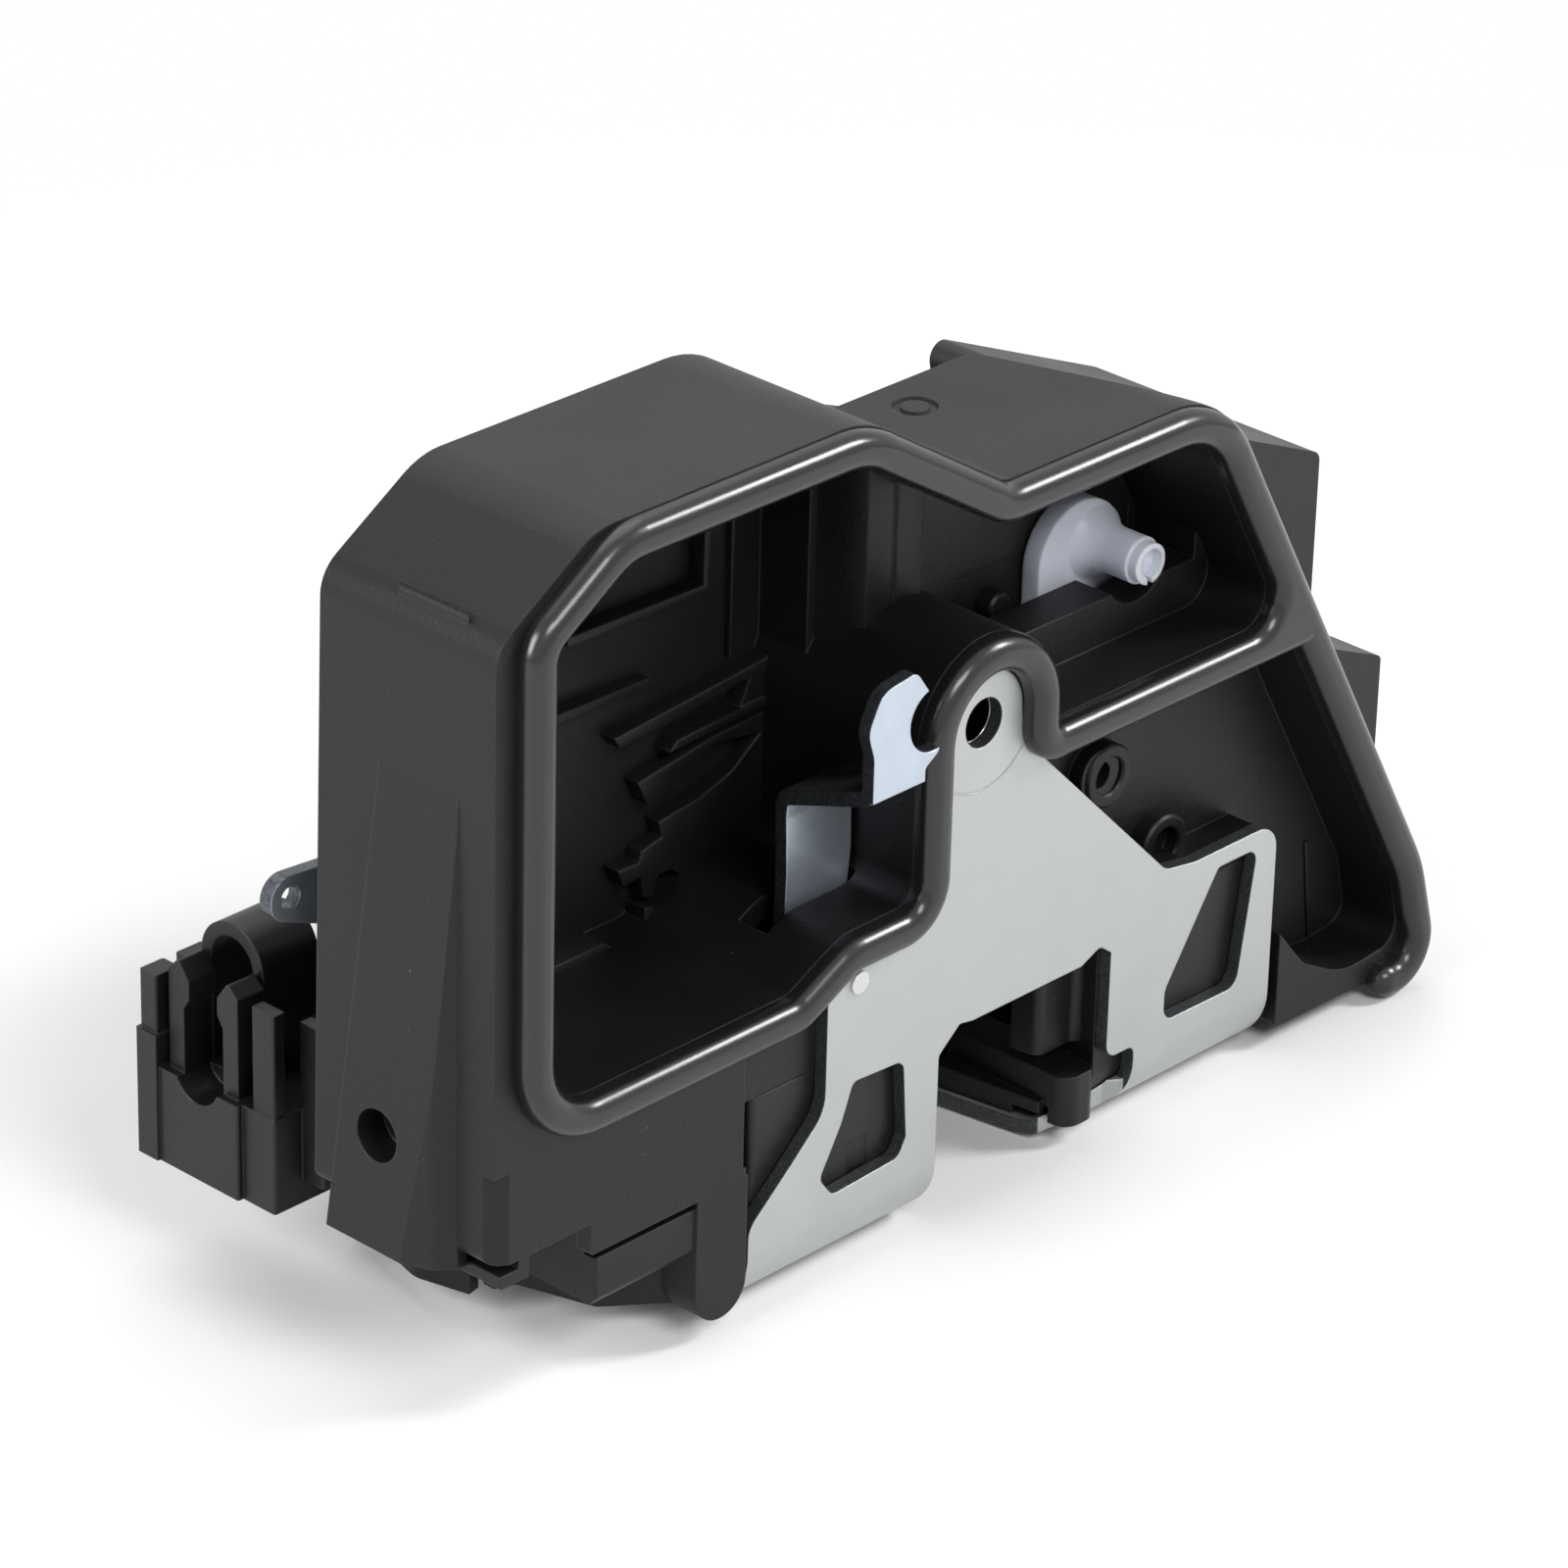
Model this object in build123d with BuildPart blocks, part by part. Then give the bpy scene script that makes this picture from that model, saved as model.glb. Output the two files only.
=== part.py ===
from build123d import *
import os
from math import atan2, cos, degrees, pi, radians, sin, tan

os.makedirs("parts", exist_ok=True)

# Right-hand side-door latch with its lock actuator.  Millimetres, +Z up.
# The panel the seal presses on is the plane y = 0, and -Y is the visible front.
# x = 0 is the middle of the striker mouth; the striker's loop enters 3 mm above
# the door shut face, which is the underside of the steel foot.

# ---------------------------------------------------------------- driving sizes
SHEET = 1.8                            # thickness of the steel latch plate
BEND_R = 8.0                           # outside radius of its right-angle bend
FOOT_Z = -3.0                          # underside of its foot, the door shut face
FOOT_TOP = FOOT_Z + SHEET
FOOT_START = 4.4                       # y where the foot's plan takes over from the leaf's
MOUTH_HALF = 14.85                     # half width of the striker mouth
MOUTH_TOP = 21.5                       # height of the mouth in the upright leaf
FOOT_DEPTH = 44.0                      # how far the foot runs back from the front
HOLE_X, HOLE_Z = -9.35, 59.6           # fixing hole at the head of the plate
HOLE_R = 3.05                          # clears an M6 screw

SEAL_HALF = 2.2                        # half width of the rubber bead
SEAL_RISE = 2.7                        # how far the bead stands in front of the land
SEAL_LEFT = -80.65                     # centre lines of the bead
SEAL_TOP = 100.8
SEAL_STEP_TOP = 86.45
SEAL_FLOOR = 34.35
SEAL_ARC_R = 8.8                       # bead round the fixing hole
BAR_Z = 53.85                          # bead between key chamber and side recess
SLOPE = 29.5                           # lean of the right side from upright, degrees
SLOPE_X = 27.75                        # x where the leaning side meets SEAL_STEP_TOP

BOX_LEFT = -85.85                      # left wall of the front housing
BOX_BOTTOM = 19.6
BOX_DEPTH = 28.5
PAD_X = -89.5                          # foot of the wedge pad on the left wall
WALL = 2.4
PANEL_Y = SHEET                        # housing face that the plate lies on
CHAMBER_DEPTH = 26.0                   # left chamber
KEY_DEPTH = 18.5                       # chamber of the key cam
LEDGE_DEPTH = 9.0                      # shelf below the key cam
RECESS_DEPTH = 8.5                     # side recess under the bar

COVER_BACK = 56.0                      # back of the rear cover
BLOCK_FRONT, BLOCK_BACK = 11.0, 46.0
BLOCK_PITCH = 23.0                     # fall of the block roofs, degrees

CATCH_X, CATCH_Y = -19.0, 24.0         # pivot of the rotary catch
CATCH_LOW, CATCH_HIGH = 6.6, 10.6
SLOT_R = 4.75                          # round end of the catch's striker slot
PAWL_X, PAWL_Y = 27.0, 17.0
PIN_FIT = 0.05                         # radial running clearance of every pivot
LINING_HIGH = 5.8                      # top of the channel's right-hand lining
COLUMN_LOW = 7.9                       # underside of the column above it

PIN_R = 3.0                            # catch and pawl pins where they pass the plates
M6_MINOR_R = 2.5                       # tapped hole before the thread is cut
FOOT_SCREWS = ((-36.0, 16.0), (-30.0, 37.0), (36.0, 34.0))
RIVET_X, RIVET_Z = -28.85, 33.9
RELEASE_X, RELEASE_Z = -27.0, 33.0     # outer release lever axis
CAM_X, CAM_Z = 26.8, 65.2              # key cam axis
KNOB_R = 2.9                           # knob that takes the key rod's socket
SHANK_R = 3.6                          # shank turning in the back wall
WHEEL_X, WHEEL_Z = 2.0, 46.0           # actuator wheel axis
MOTOR_X, MOTOR_Z = 21.7, 53.6
HOLDER_LOW, HOLDER_TOP = 10.8, 22.8    # block of the cable holder
LOCK_X, LOCK_Z = -23.0, 38.5           # lock lever axis
INSIDE_X, INSIDE_Z = -62.0, 46.0       # inner release lever axis
BODY_HIGH = 23.8                       # top of the latch body, under the front housing
ROOM_HIGH = 15.3                       # ceiling of its catch room
SHOULDER_R = 4.0                       # bearing shoulder of the catch and pawl pins
BLOCK_UPPER = (62.0, 67.2)             # outer roof corners of the two side blocks, X and Z
BLOCK_LOWER = (76.5, 35.5)
GEAR_MODULE = 1.0


# ---------------------------------------------------------------- helpers
def at_depth(depth):
    """Sketch plane parallel to the door face: X right, Z up, normal to the front."""
    return Plane.XZ.offset(-depth)


def lean_x(z, shift=0.0):
    """x of the leaning side at height z, moved outwards by shift."""
    return SLOPE_X + (SEAL_STEP_TOP - z) * tan(radians(SLOPE)) + shift / cos(radians(SLOPE))


def rounded_polygon(*corners, mode=Mode.ADD):
    """Fill the outline through (x, y, radius) corners in the current sketch."""
    with BuildLine() as outline:
        FilletPolyline(
            [(x, y) for x, y, _ in corners], radius=[r for _, _, r in corners], close=True
        )
    make_face(outline.edges(), mode=mode)


def loop_corners(shift):
    """Corners of the bead's upper loop, moved outwards by shift (inwards if negative)."""
    step = shift * tan(radians(15.9))
    side = shift * tan(radians((90 - SLOPE) / 2))
    low = shift * tan(radians(28.5))
    high = shift * tan(radians(16.5))
    floor = SEAL_FLOOR - shift
    bar = BAR_Z - shift
    return [
        (SEAL_LEFT - shift, floor, 9 + shift),
        (SEAL_LEFT - shift, 93.1 + low, 4.5 + shift),
        (-68.8 - high, SEAL_TOP + shift, 9 + shift),
        (-31.45 + step, SEAL_TOP + shift, 12 + shift),
        (-8.35 + step, SEAL_STEP_TOP + shift, 6 - shift),
        (SLOPE_X + side, SEAL_STEP_TOP + shift, 12 + shift),
        (lean_x(bar, shift), bar, 0.6 if shift > 0 else 4),
        (HOLE_X + SEAL_ARC_R - shift, bar, 3 + shift),
        (HOLE_X + SEAL_ARC_R - shift, HOLE_Z, 0),
        (HOLE_X - SEAL_ARC_R + shift, HOLE_Z, 0),
        (HOLE_X - SEAL_ARC_R + shift, 38.7 - shift, 5 + shift),
        (-31.5 + 0.24 * shift, 38.7 - shift, 5 - shift),
        (-40.0 + 0.24 * shift, floor, 5 + shift),
    ]


def loop_region(shift):
    """The bead's upper loop as a face, moved outwards by shift."""
    with BuildSketch() as region:
        rounded_polygon(*loop_corners(shift))
        with Locations((HOLE_X, HOLE_Z)):
            Circle(SEAL_ARC_R - shift, mode=Mode.SUBTRACT)
    return region.sketch


def hull_of_discs(*discs):
    """Convex plate outline round (x, y, radius) discs, added to the current sketch."""
    with BuildSketch() as plate:
        with BuildSketch(mode=Mode.PRIVATE) as loose:
            for x, y, radius in discs:
                with Locations((x, y)):
                    Circle(radius)
        make_hull(loose.edges())
    return plate.sketch


# ---------------------------------------------------------------- steel latch plate
with BuildPart() as plate_trim:
    with BuildSketch(at_depth(FOOT_START)) as leaf_outline:
        rounded_polygon(
            (-45.85, -5, 0), (-45.85, 8.6, 3), (-39.3, 14.2, 6), (-33.75, 19.2, 5), (-33.75, 34.3, 1),
            (-30.3, 36.2, 1), (-21.5, 36.2, 2), (-15.8, 41.0, 3), (-15.8, HOLE_Z, 0), (-2.9, HOLE_Z, 0),
            (-2.5, 55.3, 0), (24.0, 29.0, 3), (29.5, 28.1, 4), (44.45, 28.1, 3.5),
            (44.45, -5, 0), (19.85, -5, 0), (19.85, 7.1, 1.2), (MOUTH_HALF, 7.1, 1.8),
            (MOUTH_HALF, 21.4, 0), (12.8, 22.9, 1.0), (9.6, MOUTH_TOP, 0), (-9.2, MOUTH_TOP, 0),
            (-11.4, 21.9, 0.5), (-MOUTH_HALF, 19.0, 1), (-MOUTH_HALF, -5, 0),
        )
        with Locations((HOLE_X, HOLE_Z)):
            Circle(6.45)
            Circle(HOLE_R, mode=Mode.SUBTRACT)
        rounded_polygon(
            (-20.8, 20.7, 1.5), (-20.0, 10.5, 0), (-21.2, 8.2, 1.6), (-32.2, 7.7, 1.6),
            (-34.4, 10.5, 1.2), (-31.0, 16.5, 3), (-29.2, 21.2, 1), mode=Mode.SUBTRACT,
        )
        rounded_polygon(
            (41.0, 25.8, 1.6), (33.8, 25.8, 1), (25.0, 12.5, 2.5), (25.0, 8.3, 1.8), (38.3, 8.1, 2),
            mode=Mode.SUBTRACT,
        )
    extrude(amount=FOOT_START + 1)
    with BuildSketch(Plane.XY.offset(FOOT_Z - 1)) as foot_outline:
        rounded_polygon(
            (-45.85, FOOT_START, 0), (-45.85, FOOT_DEPTH, 8), (40.0, FOOT_DEPTH, 8), (44.45, 30, 6),
            (44.45, FOOT_START, 0), (20.5, FOOT_START, 0), (20.5, 1.4, 0), (19.7, 1.4, 0),
            (17.5, 2.9, 1.5), (8.4, 4.6, 0.5), (6.2, 18.3, 3), (5.5, 23.0, 0),
            (5.5, 29.5, 5.4), (-7.5, 29.5, 5.4), (-7.5, 20.0, 4), (-MOUTH_HALF, 12.0, 3),
            (-MOUTH_HALF, FOOT_START, 0),
        )
    extrude(amount=6)

with BuildPart() as latch_plate:
    with BuildSketch(Plane.YZ.offset(-60)) as angle_profile:
        rounded_polygon(
            (0, 80, 0), (0, FOOT_Z, BEND_R), (FOOT_DEPTH, FOOT_Z, 0), (FOOT_DEPTH, FOOT_TOP, 0),
            (SHEET, FOOT_TOP, BEND_R - SHEET), (SHEET, 80, 0),
        )
    extrude(amount=120)
    add(plate_trim.part, mode=Mode.INTERSECT)
    with BuildSketch(Plane.XY.offset(FOOT_Z - 1)) as screw_holes:
        with Locations(*FOOT_SCREWS):
            Circle(M6_MINOR_R)
        with Locations((CATCH_X, CATCH_Y), (PAWL_X, PAWL_Y)):
            Circle(PIN_R)
    extrude(amount=4, mode=Mode.SUBTRACT)
    with BuildSketch(at_depth(4)) as rivet_hole:
        with Locations((RIVET_X, RIVET_Z)):
            Circle(0.95)
    extrude(amount=6, mode=Mode.SUBTRACT)
latch_plate.part.label = "latch_plate"
export_step(latch_plate.part, "parts/latch_plate.step")


# ---------------------------------------------------------------- rubber seal
with BuildPart() as gasket:
    with BuildSketch(at_depth(0)) as bead_plan:
        add(loop_region(SEAL_HALF))
        with BuildLine() as tail_line:
            FilletPolyline(
                (lean_x(72), 72), (lean_x(13.6), 13.6), (73.4, -2.2), (66.0, -1.0), radius=(20, 4.5)
            )
        SlotArc(tail_line.wire(), 2 * SEAL_HALF)
        add(loop_region(-SEAL_HALF), mode=Mode.SUBTRACT)
    extrude(amount=SEAL_RISE)
    fillet(gasket.faces().sort_by(Axis.Y)[0].edges(), radius=SEAL_HALF - 0.3)
gasket.part.label = "gasket"
export_step(gasket.part, "parts/gasket.step")


# ---------------------------------------------------------------- front housing
with BuildPart() as wall_pad:
    with BuildSketch(at_depth(22.6)) as pad_wedge:
        rounded_polygon((-84.5, 96.0, 0), (PAD_X, 17.8, 0), (-84.5, 17.8, 0))
    extrude(amount=17.2)
    with BuildSketch(Plane.YZ.offset(-95)) as pad_back:
        rounded_polygon((15.8, 97.0, 0), (22.4, 17.0, 0), (24.0, 17.0, 0), (24.0, 97.0, 0))
    extrude(amount=20, mode=Mode.SUBTRACT)
    with BuildSketch(Plane.XY.offset(17)) as pad_front:
        rounded_polygon(
            (-91, 5.0, 0), (BOX_LEFT, 5.3, 0), (-88.0, 7.0, 2), (PAD_X - 0.1, 11.0, 0), (-91, 11.0, 0),
        )
    extrude(amount=80, mode=Mode.SUBTRACT)

with BuildPart() as front_housing:
    with BuildSketch(at_depth(BOX_DEPTH)) as shell_outline:
        rounded_polygon(
            (BOX_LEFT, BOX_BOTTOM, 1.5), (BOX_LEFT, 93.9, 5), (-71.5, SEAL_TOP + WALL, 10),
            (-31.45 + 0.285 * WALL, SEAL_TOP + WALL, 14),
            (-8.35 + 0.285 * WALL, SEAL_STEP_TOP + WALL, 3.6),
            (SLOPE_X + 0.583 * WALL, SEAL_STEP_TOP + WALL, 14.4), (lean_x(14.6, WALL), 14.6, 20),
            (75.7, -4.2, 8.4), (62.0, -0.9, 4), (46.3, -0.6, 0.8), (46.3, 24.0, 0),
            (-46.5, 24.0, 1), (-46.5, 15.6, 0), (-71.0, 15.6, 0.5), (-71.0, BOX_BOTTOM, 0),
        )
    extrude(amount=BOX_DEPTH)
    add(wall_pad.part)
    with BuildSketch(Plane.YZ.offset(-90)) as left_draft:
        rounded_polygon((26.3, 105.0, 0), (28.3, 10.0, 0), (30.0, 10.0, 0), (30.0, 105.0, 0))
    extrude(amount=90 - 53.5, mode=Mode.SUBTRACT)
    with BuildSketch(Plane.YZ.offset(-54)) as top_draft:
        rounded_polygon((26.3, 105.0, 0), (26.9, 74.0, 0), (30.0, 74.0, 0), (30.0, 105.0, 0))
    extrude(amount=110, mode=Mode.SUBTRACT)
    shoulder_plane = Plane((24.8, 0, 89.0), x_dir=(0, -1, 0.212), z_dir=(0.528, 0.176, 0.830))
    with BuildSketch(shoulder_plane) as back_shoulder:
        Rectangle(90, 60)
    extrude(amount=20, mode=Mode.SUBTRACT)
    with BuildSketch(Plane.XY.offset(SEAL_STEP_TOP + WALL - 0.3)) as ejector_mark:
        with Locations((0.2, 20.6)):
            Circle(2.7)
            Circle(1.7, mode=Mode.SUBTRACT)
    extrude(amount=1, mode=Mode.SUBTRACT)
    with BuildSketch(Plane.XY.offset(10)) as toe_room:
        with Locations((-60.0, 16.4)):
            Rectangle(28.0, 28.4)
    extrude(amount=BOX_BOTTOM - 10, mode=Mode.SUBTRACT)
    with BuildSketch(Plane.XY.offset(8.4)) as toe_block:
        rounded_polygon((-69.8, 0.3, 0.3), (-69.8, 12.6, 0), (-50.0, 12.6, 0), (-50.0, 0.3, 0))
    extrude(amount=6.2)
    with BuildSketch(Plane.XY.offset(14)) as toe_neck:
        rounded_polygon((-69.8, 2.1, 0), (-69.8, 12.6, 0), (-46.6, 12.6, 0), (-46.6, 2.1, 0))
    extrude(amount=8)
    with BuildSketch(Plane.YZ.offset(-75)) as toe_bevel:
        rounded_polygon((-1, 9.6, 0), (0.2, 9.6, 0), (1.3, 8.3, 0), (-1, 8.3, 0))
    extrude(amount=30, mode=Mode.SUBTRACT)
    with BuildSketch(at_depth(6.0)) as lug:
        rounded_polygon((-54.2, 16.0, 0), (-54.2, -1.0, 4.0), (-46.15, -1.0, 4.0), (-46.15, 16.0, 0))
    extrude(amount=6.0)
    with BuildSketch(at_depth(30.0)) as lug_back:
        rounded_polygon((-53.0, 20.0, 0), (-53.0, 0.2, 1.0), (-46.8, 0.2, 1.0), (-46.8, 20.0, 0))
    extrude(amount=25.0)
    with BuildSketch(Plane.XY.offset(0.2)) as skirt:
        rounded_polygon(
            (-51.0, 3.0, 0), (-59.9, 10.0, 1), (-62.9, 19.8, 1), (-65.4, 20.6, 0.5), (-65.4, 22.4, 0),
            (-61.4, 21.6, 1), (-58.1, 11.3, 1), (-50.0, 5.0, 0),
        )
        rounded_polygon(
            (-68.2, 21.8, 0), (-70.0, 28.8, 4), (-65.8, 44.6, 0), (-63.9, 44.1, 0), (-68.0, 28.8, 3),
            (-66.4, 22.2, 0),
        )
    extrude(amount=BOX_BOTTOM + 0.4)
    with BuildSketch(at_depth(50.0)) as fin_relief:
        with Locations((-67.0, 18.8)):
            Rectangle(8.0, 4.0)
    extrude(amount=50.0 - BOX_DEPTH - 1.0, mode=Mode.SUBTRACT)
    with BuildSketch(Plane.XY.offset(17)) as corner_flat:
        rounded_polygon(
            (-86.5, -0.5, 0), (-83.4, -0.5, 0), (-83.4, 0.0, 0), (BOX_LEFT, 1.7, 0), (-86.5, 1.7, 0),
        )
    extrude(amount=31 - 17, mode=Mode.SUBTRACT)
    with BuildSketch(at_depth(15.0)) as under_lip:
        rounded_polygon(
            (-84.4, 16.6, 0.3), (-80.0, 16.6, 0), (-80.0, 19.9, 0), (-81.6, 19.9, 0), (-81.6, 18.2, 0),
            (-84.4, 18.2, 0.3),
        )
    extrude(amount=14.6)
    with BuildSketch(Plane.YZ.offset(-92)) as side_hole:
        with Locations((15.2, 31.5)):
            Circle(3.1)
    extrude(amount=7.4, mode=Mode.SUBTRACT)
    with BuildSketch(at_depth(CHAMBER_DEPTH)) as left_chamber:
        add(loop_region(-SEAL_HALF))
        with Locations((31, 60)):
            Rectangle(100, 100, mode=Mode.SUBTRACT)
    extrude(amount=CHAMBER_DEPTH, mode=Mode.SUBTRACT)
    with BuildSketch(at_depth(KEY_DEPTH)) as key_chamber:
        add(loop_region(-SEAL_HALF))
        with Locations((9.0, 92.0)):
            Rectangle(56.2, 60.0, mode=Mode.INTERSECT)
    extrude(amount=KEY_DEPTH, mode=Mode.SUBTRACT)
    with BuildSketch(at_depth(LEDGE_DEPTH)) as key_ledge:
        add(loop_region(-SEAL_HALF))
        with Locations((31, 60)):
            Rectangle(100.1, 100, mode=Mode.INTERSECT)
    extrude(amount=LEDGE_DEPTH, mode=Mode.SUBTRACT)
    with BuildSketch(at_depth(RECESS_DEPTH)) as side_recess:
        rounded_polygon(
            (-1.5, 51.65, 0), (lean_x(51.65, -SEAL_HALF), 51.65, 3), (67.1, 12.5, 8), (69.5, 3.1, 3),
            (59.0, 2.2, 12), (51.0, 6.5, 6), (45.6, 13.0, 2),
            (45.6, 25.6, 0), (28.6, 25.6, 3), (1.5, 47.6, 0),
        )
    extrude(amount=RECESS_DEPTH, mode=Mode.SUBTRACT)
    with BuildSketch(at_depth(RECESS_DEPTH + 1)) as recess_boss:
        with Locations((19.0, 40.7)):
            Circle(3.3)
    extrude(amount=3.0)
    with BuildSketch(at_depth(RECESS_DEPTH)) as boss_hole:
        with Locations((19.0, 40.7)):
            Circle(1.7)
    extrude(amount=3.0, mode=Mode.SUBTRACT)
    with BuildSketch(at_depth(PANEL_Y)) as panel_step:
        rounded_polygon(
            (-47.0, 17, 0), (-47.0, 31, 0), (-39, 31, 0),
            (-30.5, 35.4, 0), (-17.0, 35.4, 0), (-17.0, 17, 0),
        )
        rounded_polygon(
            (-35.0, 20, 0), (-33.9, 34.4, 1), (-30.4, 36.3, 1), (-21.5, 36.3, 2), (-15.9, 41.1, 3),
            (-15.9, HOLE_Z, 0),
            (-2.8, HOLE_Z, 0), (-2.3, 55.4, 0), (24.1, 29.1, 3), (29.5, 28.2, 4), (47.0, 28.2, 3.5),
            (47.0, 20, 0),
        )
        with Locations((HOLE_X, HOLE_Z)):
            Circle(SEAL_ARC_R - SEAL_HALF)
    extrude(amount=PANEL_Y, mode=Mode.SUBTRACT)
    with BuildSketch(at_depth(BOX_DEPTH)) as mechanism_bay:
        rounded_polygon(
            (-83.4, 22.0, 1), (-83.4, 34.0, 1), (-40.0, 34.0, 1), (-31.0, 38.0, 1), (-16.6, 38.0, 1),
            (-16.6, 53.5, 1), (lean_x(53.5, -WALL), 53.5, 4),
            (lean_x(10, -WALL), 10.0, 8), (66.0, 3.0, 4),
            (48.7, 3.0, 1), (48.7, 26.4, 1), (-44.0, 26.4, 1), (-44.0, 22.0, 1),
        )
    extrude(amount=BOX_DEPTH - 11.2, mode=Mode.SUBTRACT)
    with BuildSketch(at_depth(BOX_DEPTH)) as key_bay:
        rounded_polygon(
            (-16.6, 52.0, 0), (-16.6, 82.0, 2), (10.0, 82.0, 8),
            (30.0, 68.0, 6), (lean_x(52, -WALL), 52.0, 0),
        )
    extrude(amount=BOX_DEPTH - KEY_DEPTH - 2.0, mode=Mode.SUBTRACT)
    with BuildSketch(at_depth(16.0)) as fixing_bore:
        with Locations((HOLE_X, HOLE_Z)):
            Circle(3.3)
    extrude(amount=20, mode=Mode.SUBTRACT)
    with BuildSketch(at_depth(8.0)) as collar_seat:
        with Locations((HOLE_X, HOLE_Z)):
            Circle(4.5)
    extrude(amount=9, mode=Mode.SUBTRACT)
    with BuildSketch(at_depth(KEY_DEPTH + 0.1)) as cam_pocket:
        rounded_polygon((6.0, 51.5, 2), (6.0, 66.0, 0), (36.0, 66.0, 0), (36.0, 51.5, 2))
        rounded_polygon(
            (-5.0, 90.0, 0), (-5.0, 51.0, 0),
            (lean_x(51.0, -WALL), 51.0, 0), (lean_x(90, -WALL), 90, 0),
            mode=Mode.INTERSECT,
        )
    extrude(amount=KEY_DEPTH + 0.1 - 14.6, mode=Mode.SUBTRACT)
    with BuildSketch(at_depth(KEY_DEPTH)) as cam_relief:
        with Locations((CAM_X, CAM_Z)):
            Circle(5.4)
    extrude(amount=KEY_DEPTH, mode=Mode.SUBTRACT)
    with BuildSketch(at_depth(21.0)) as cam_bore:
        with Locations((CAM_X, CAM_Z)):
            Circle(SHANK_R + PIN_FIT)
    extrude(amount=4, mode=Mode.SUBTRACT)
    with BuildSketch(at_depth(12.0)) as release_pin_bore:
        with Locations((RELEASE_X, RELEASE_Z)):
            Circle(2.0)
    extrude(amount=7.0, mode=Mode.SUBTRACT)
    with BuildSketch(at_depth(5.3)) as rivet_bore:
        with Locations((RIVET_X, RIVET_Z)):
            Circle(0.95)
    extrude(amount=6, mode=Mode.SUBTRACT)
    with BuildSketch(Plane.XY.offset(24.0 - 1)) as lever_slot:
        with Locations((-28.0, 10.4)):
            Rectangle(14.6, 4.4)
    extrude(amount=19, mode=Mode.SUBTRACT)
front_housing.part.label = "front_housing"
export_step(front_housing.part, "parts/front_housing.step")


# ---------------------------------------------------------------- rear cover
COVER_CORNERS = [
    (-52.0, 24.1, 3), (-52.0, 57.0, 6), (-36.0, 72.0, 6), (20.0, 72.0, 6), (36.0, 66.0, 5),
    (46.4, 52.0, 4), (46.4, 24.1, 3),
]
BLOCK_CORNERS = [
    (30.0, BLOCK_UPPER[1] + (BLOCK_UPPER[0] - 30.0) * tan(radians(BLOCK_PITCH)), 2),
    (*BLOCK_UPPER, 1.6),
    (BLOCK_UPPER[0], BLOCK_LOWER[1] + (BLOCK_LOWER[0] - BLOCK_UPPER[0]) * tan(radians(BLOCK_PITCH)), 0.5),
    (*BLOCK_LOWER, 1.0), (BLOCK_LOWER[0], 8.0, 2), (47.0, 8.0, 2), (47.0, 30.0, 0), (36.0, 52.0, 0),
]
with BuildPart() as rear_cover:
    with BuildSketch(at_depth(COVER_BACK)) as back_outline:
        rounded_polygon(*COVER_CORNERS)
    extrude(amount=COVER_BACK - BOX_DEPTH)
    with BuildSketch(at_depth(BLOCK_BACK)) as block_outline:
        rounded_polygon(*BLOCK_CORNERS)
    extrude(amount=BLOCK_BACK - BLOCK_FRONT)
    with BuildSketch(at_depth(BOX_DEPTH)) as housing_room:
        rounded_polygon(
            (-90, -9, 0), (-90, 120, 0), (lean_x(120, WALL), 120, 0),
            (lean_x(14.6, WALL), 14.6, 0), (78.0, -9, 0),
        )
    extrude(amount=30, mode=Mode.SUBTRACT)
    with BuildSketch(at_depth(COVER_BACK - WALL)) as cover_room:
        rounded_polygon(
            (-49.6, 26.4, 2), (-49.6, 56.0, 4), (-35.0, 69.6, 4), (19.0, 69.6, 4), (33.6, 64.0, 3),
            (44.0, 50.0, 4), (44.0, 26.4, 2),
        )
    extrude(amount=COVER_BACK - WALL - BOX_DEPTH, mode=Mode.SUBTRACT)
    with BuildSketch(at_depth(BLOCK_BACK - WALL)) as block_room:
        rounded_polygon(
            (40.0, 40.0, 0), (40.0, 72.6, 0), (59.0, 64.4, 1), (59.0, 24.0, 1), (46.0, 24.0, 1),
        )
    extrude(amount=BLOCK_BACK - BLOCK_FRONT - 2 * WALL, mode=Mode.SUBTRACT)
    with BuildSketch(Plane.YZ.offset(80)) as plug_socket:
        with Locations((37.0, 21.5)):
            RectangleRounded(13.0, 20.0, 1.5)
    extrude(amount=-18.4, mode=Mode.SUBTRACT)
    with BuildSketch(Plane.YZ.offset(-60)) as lever_gap:
        with Locations((35.6, 48.0)):
            Rectangle(5.6, 22.0)
    extrude(amount=14, mode=Mode.SUBTRACT)
rear_cover.part.label = "rear_cover"
export_step(rear_cover.part, "parts/rear_cover.step")


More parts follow.
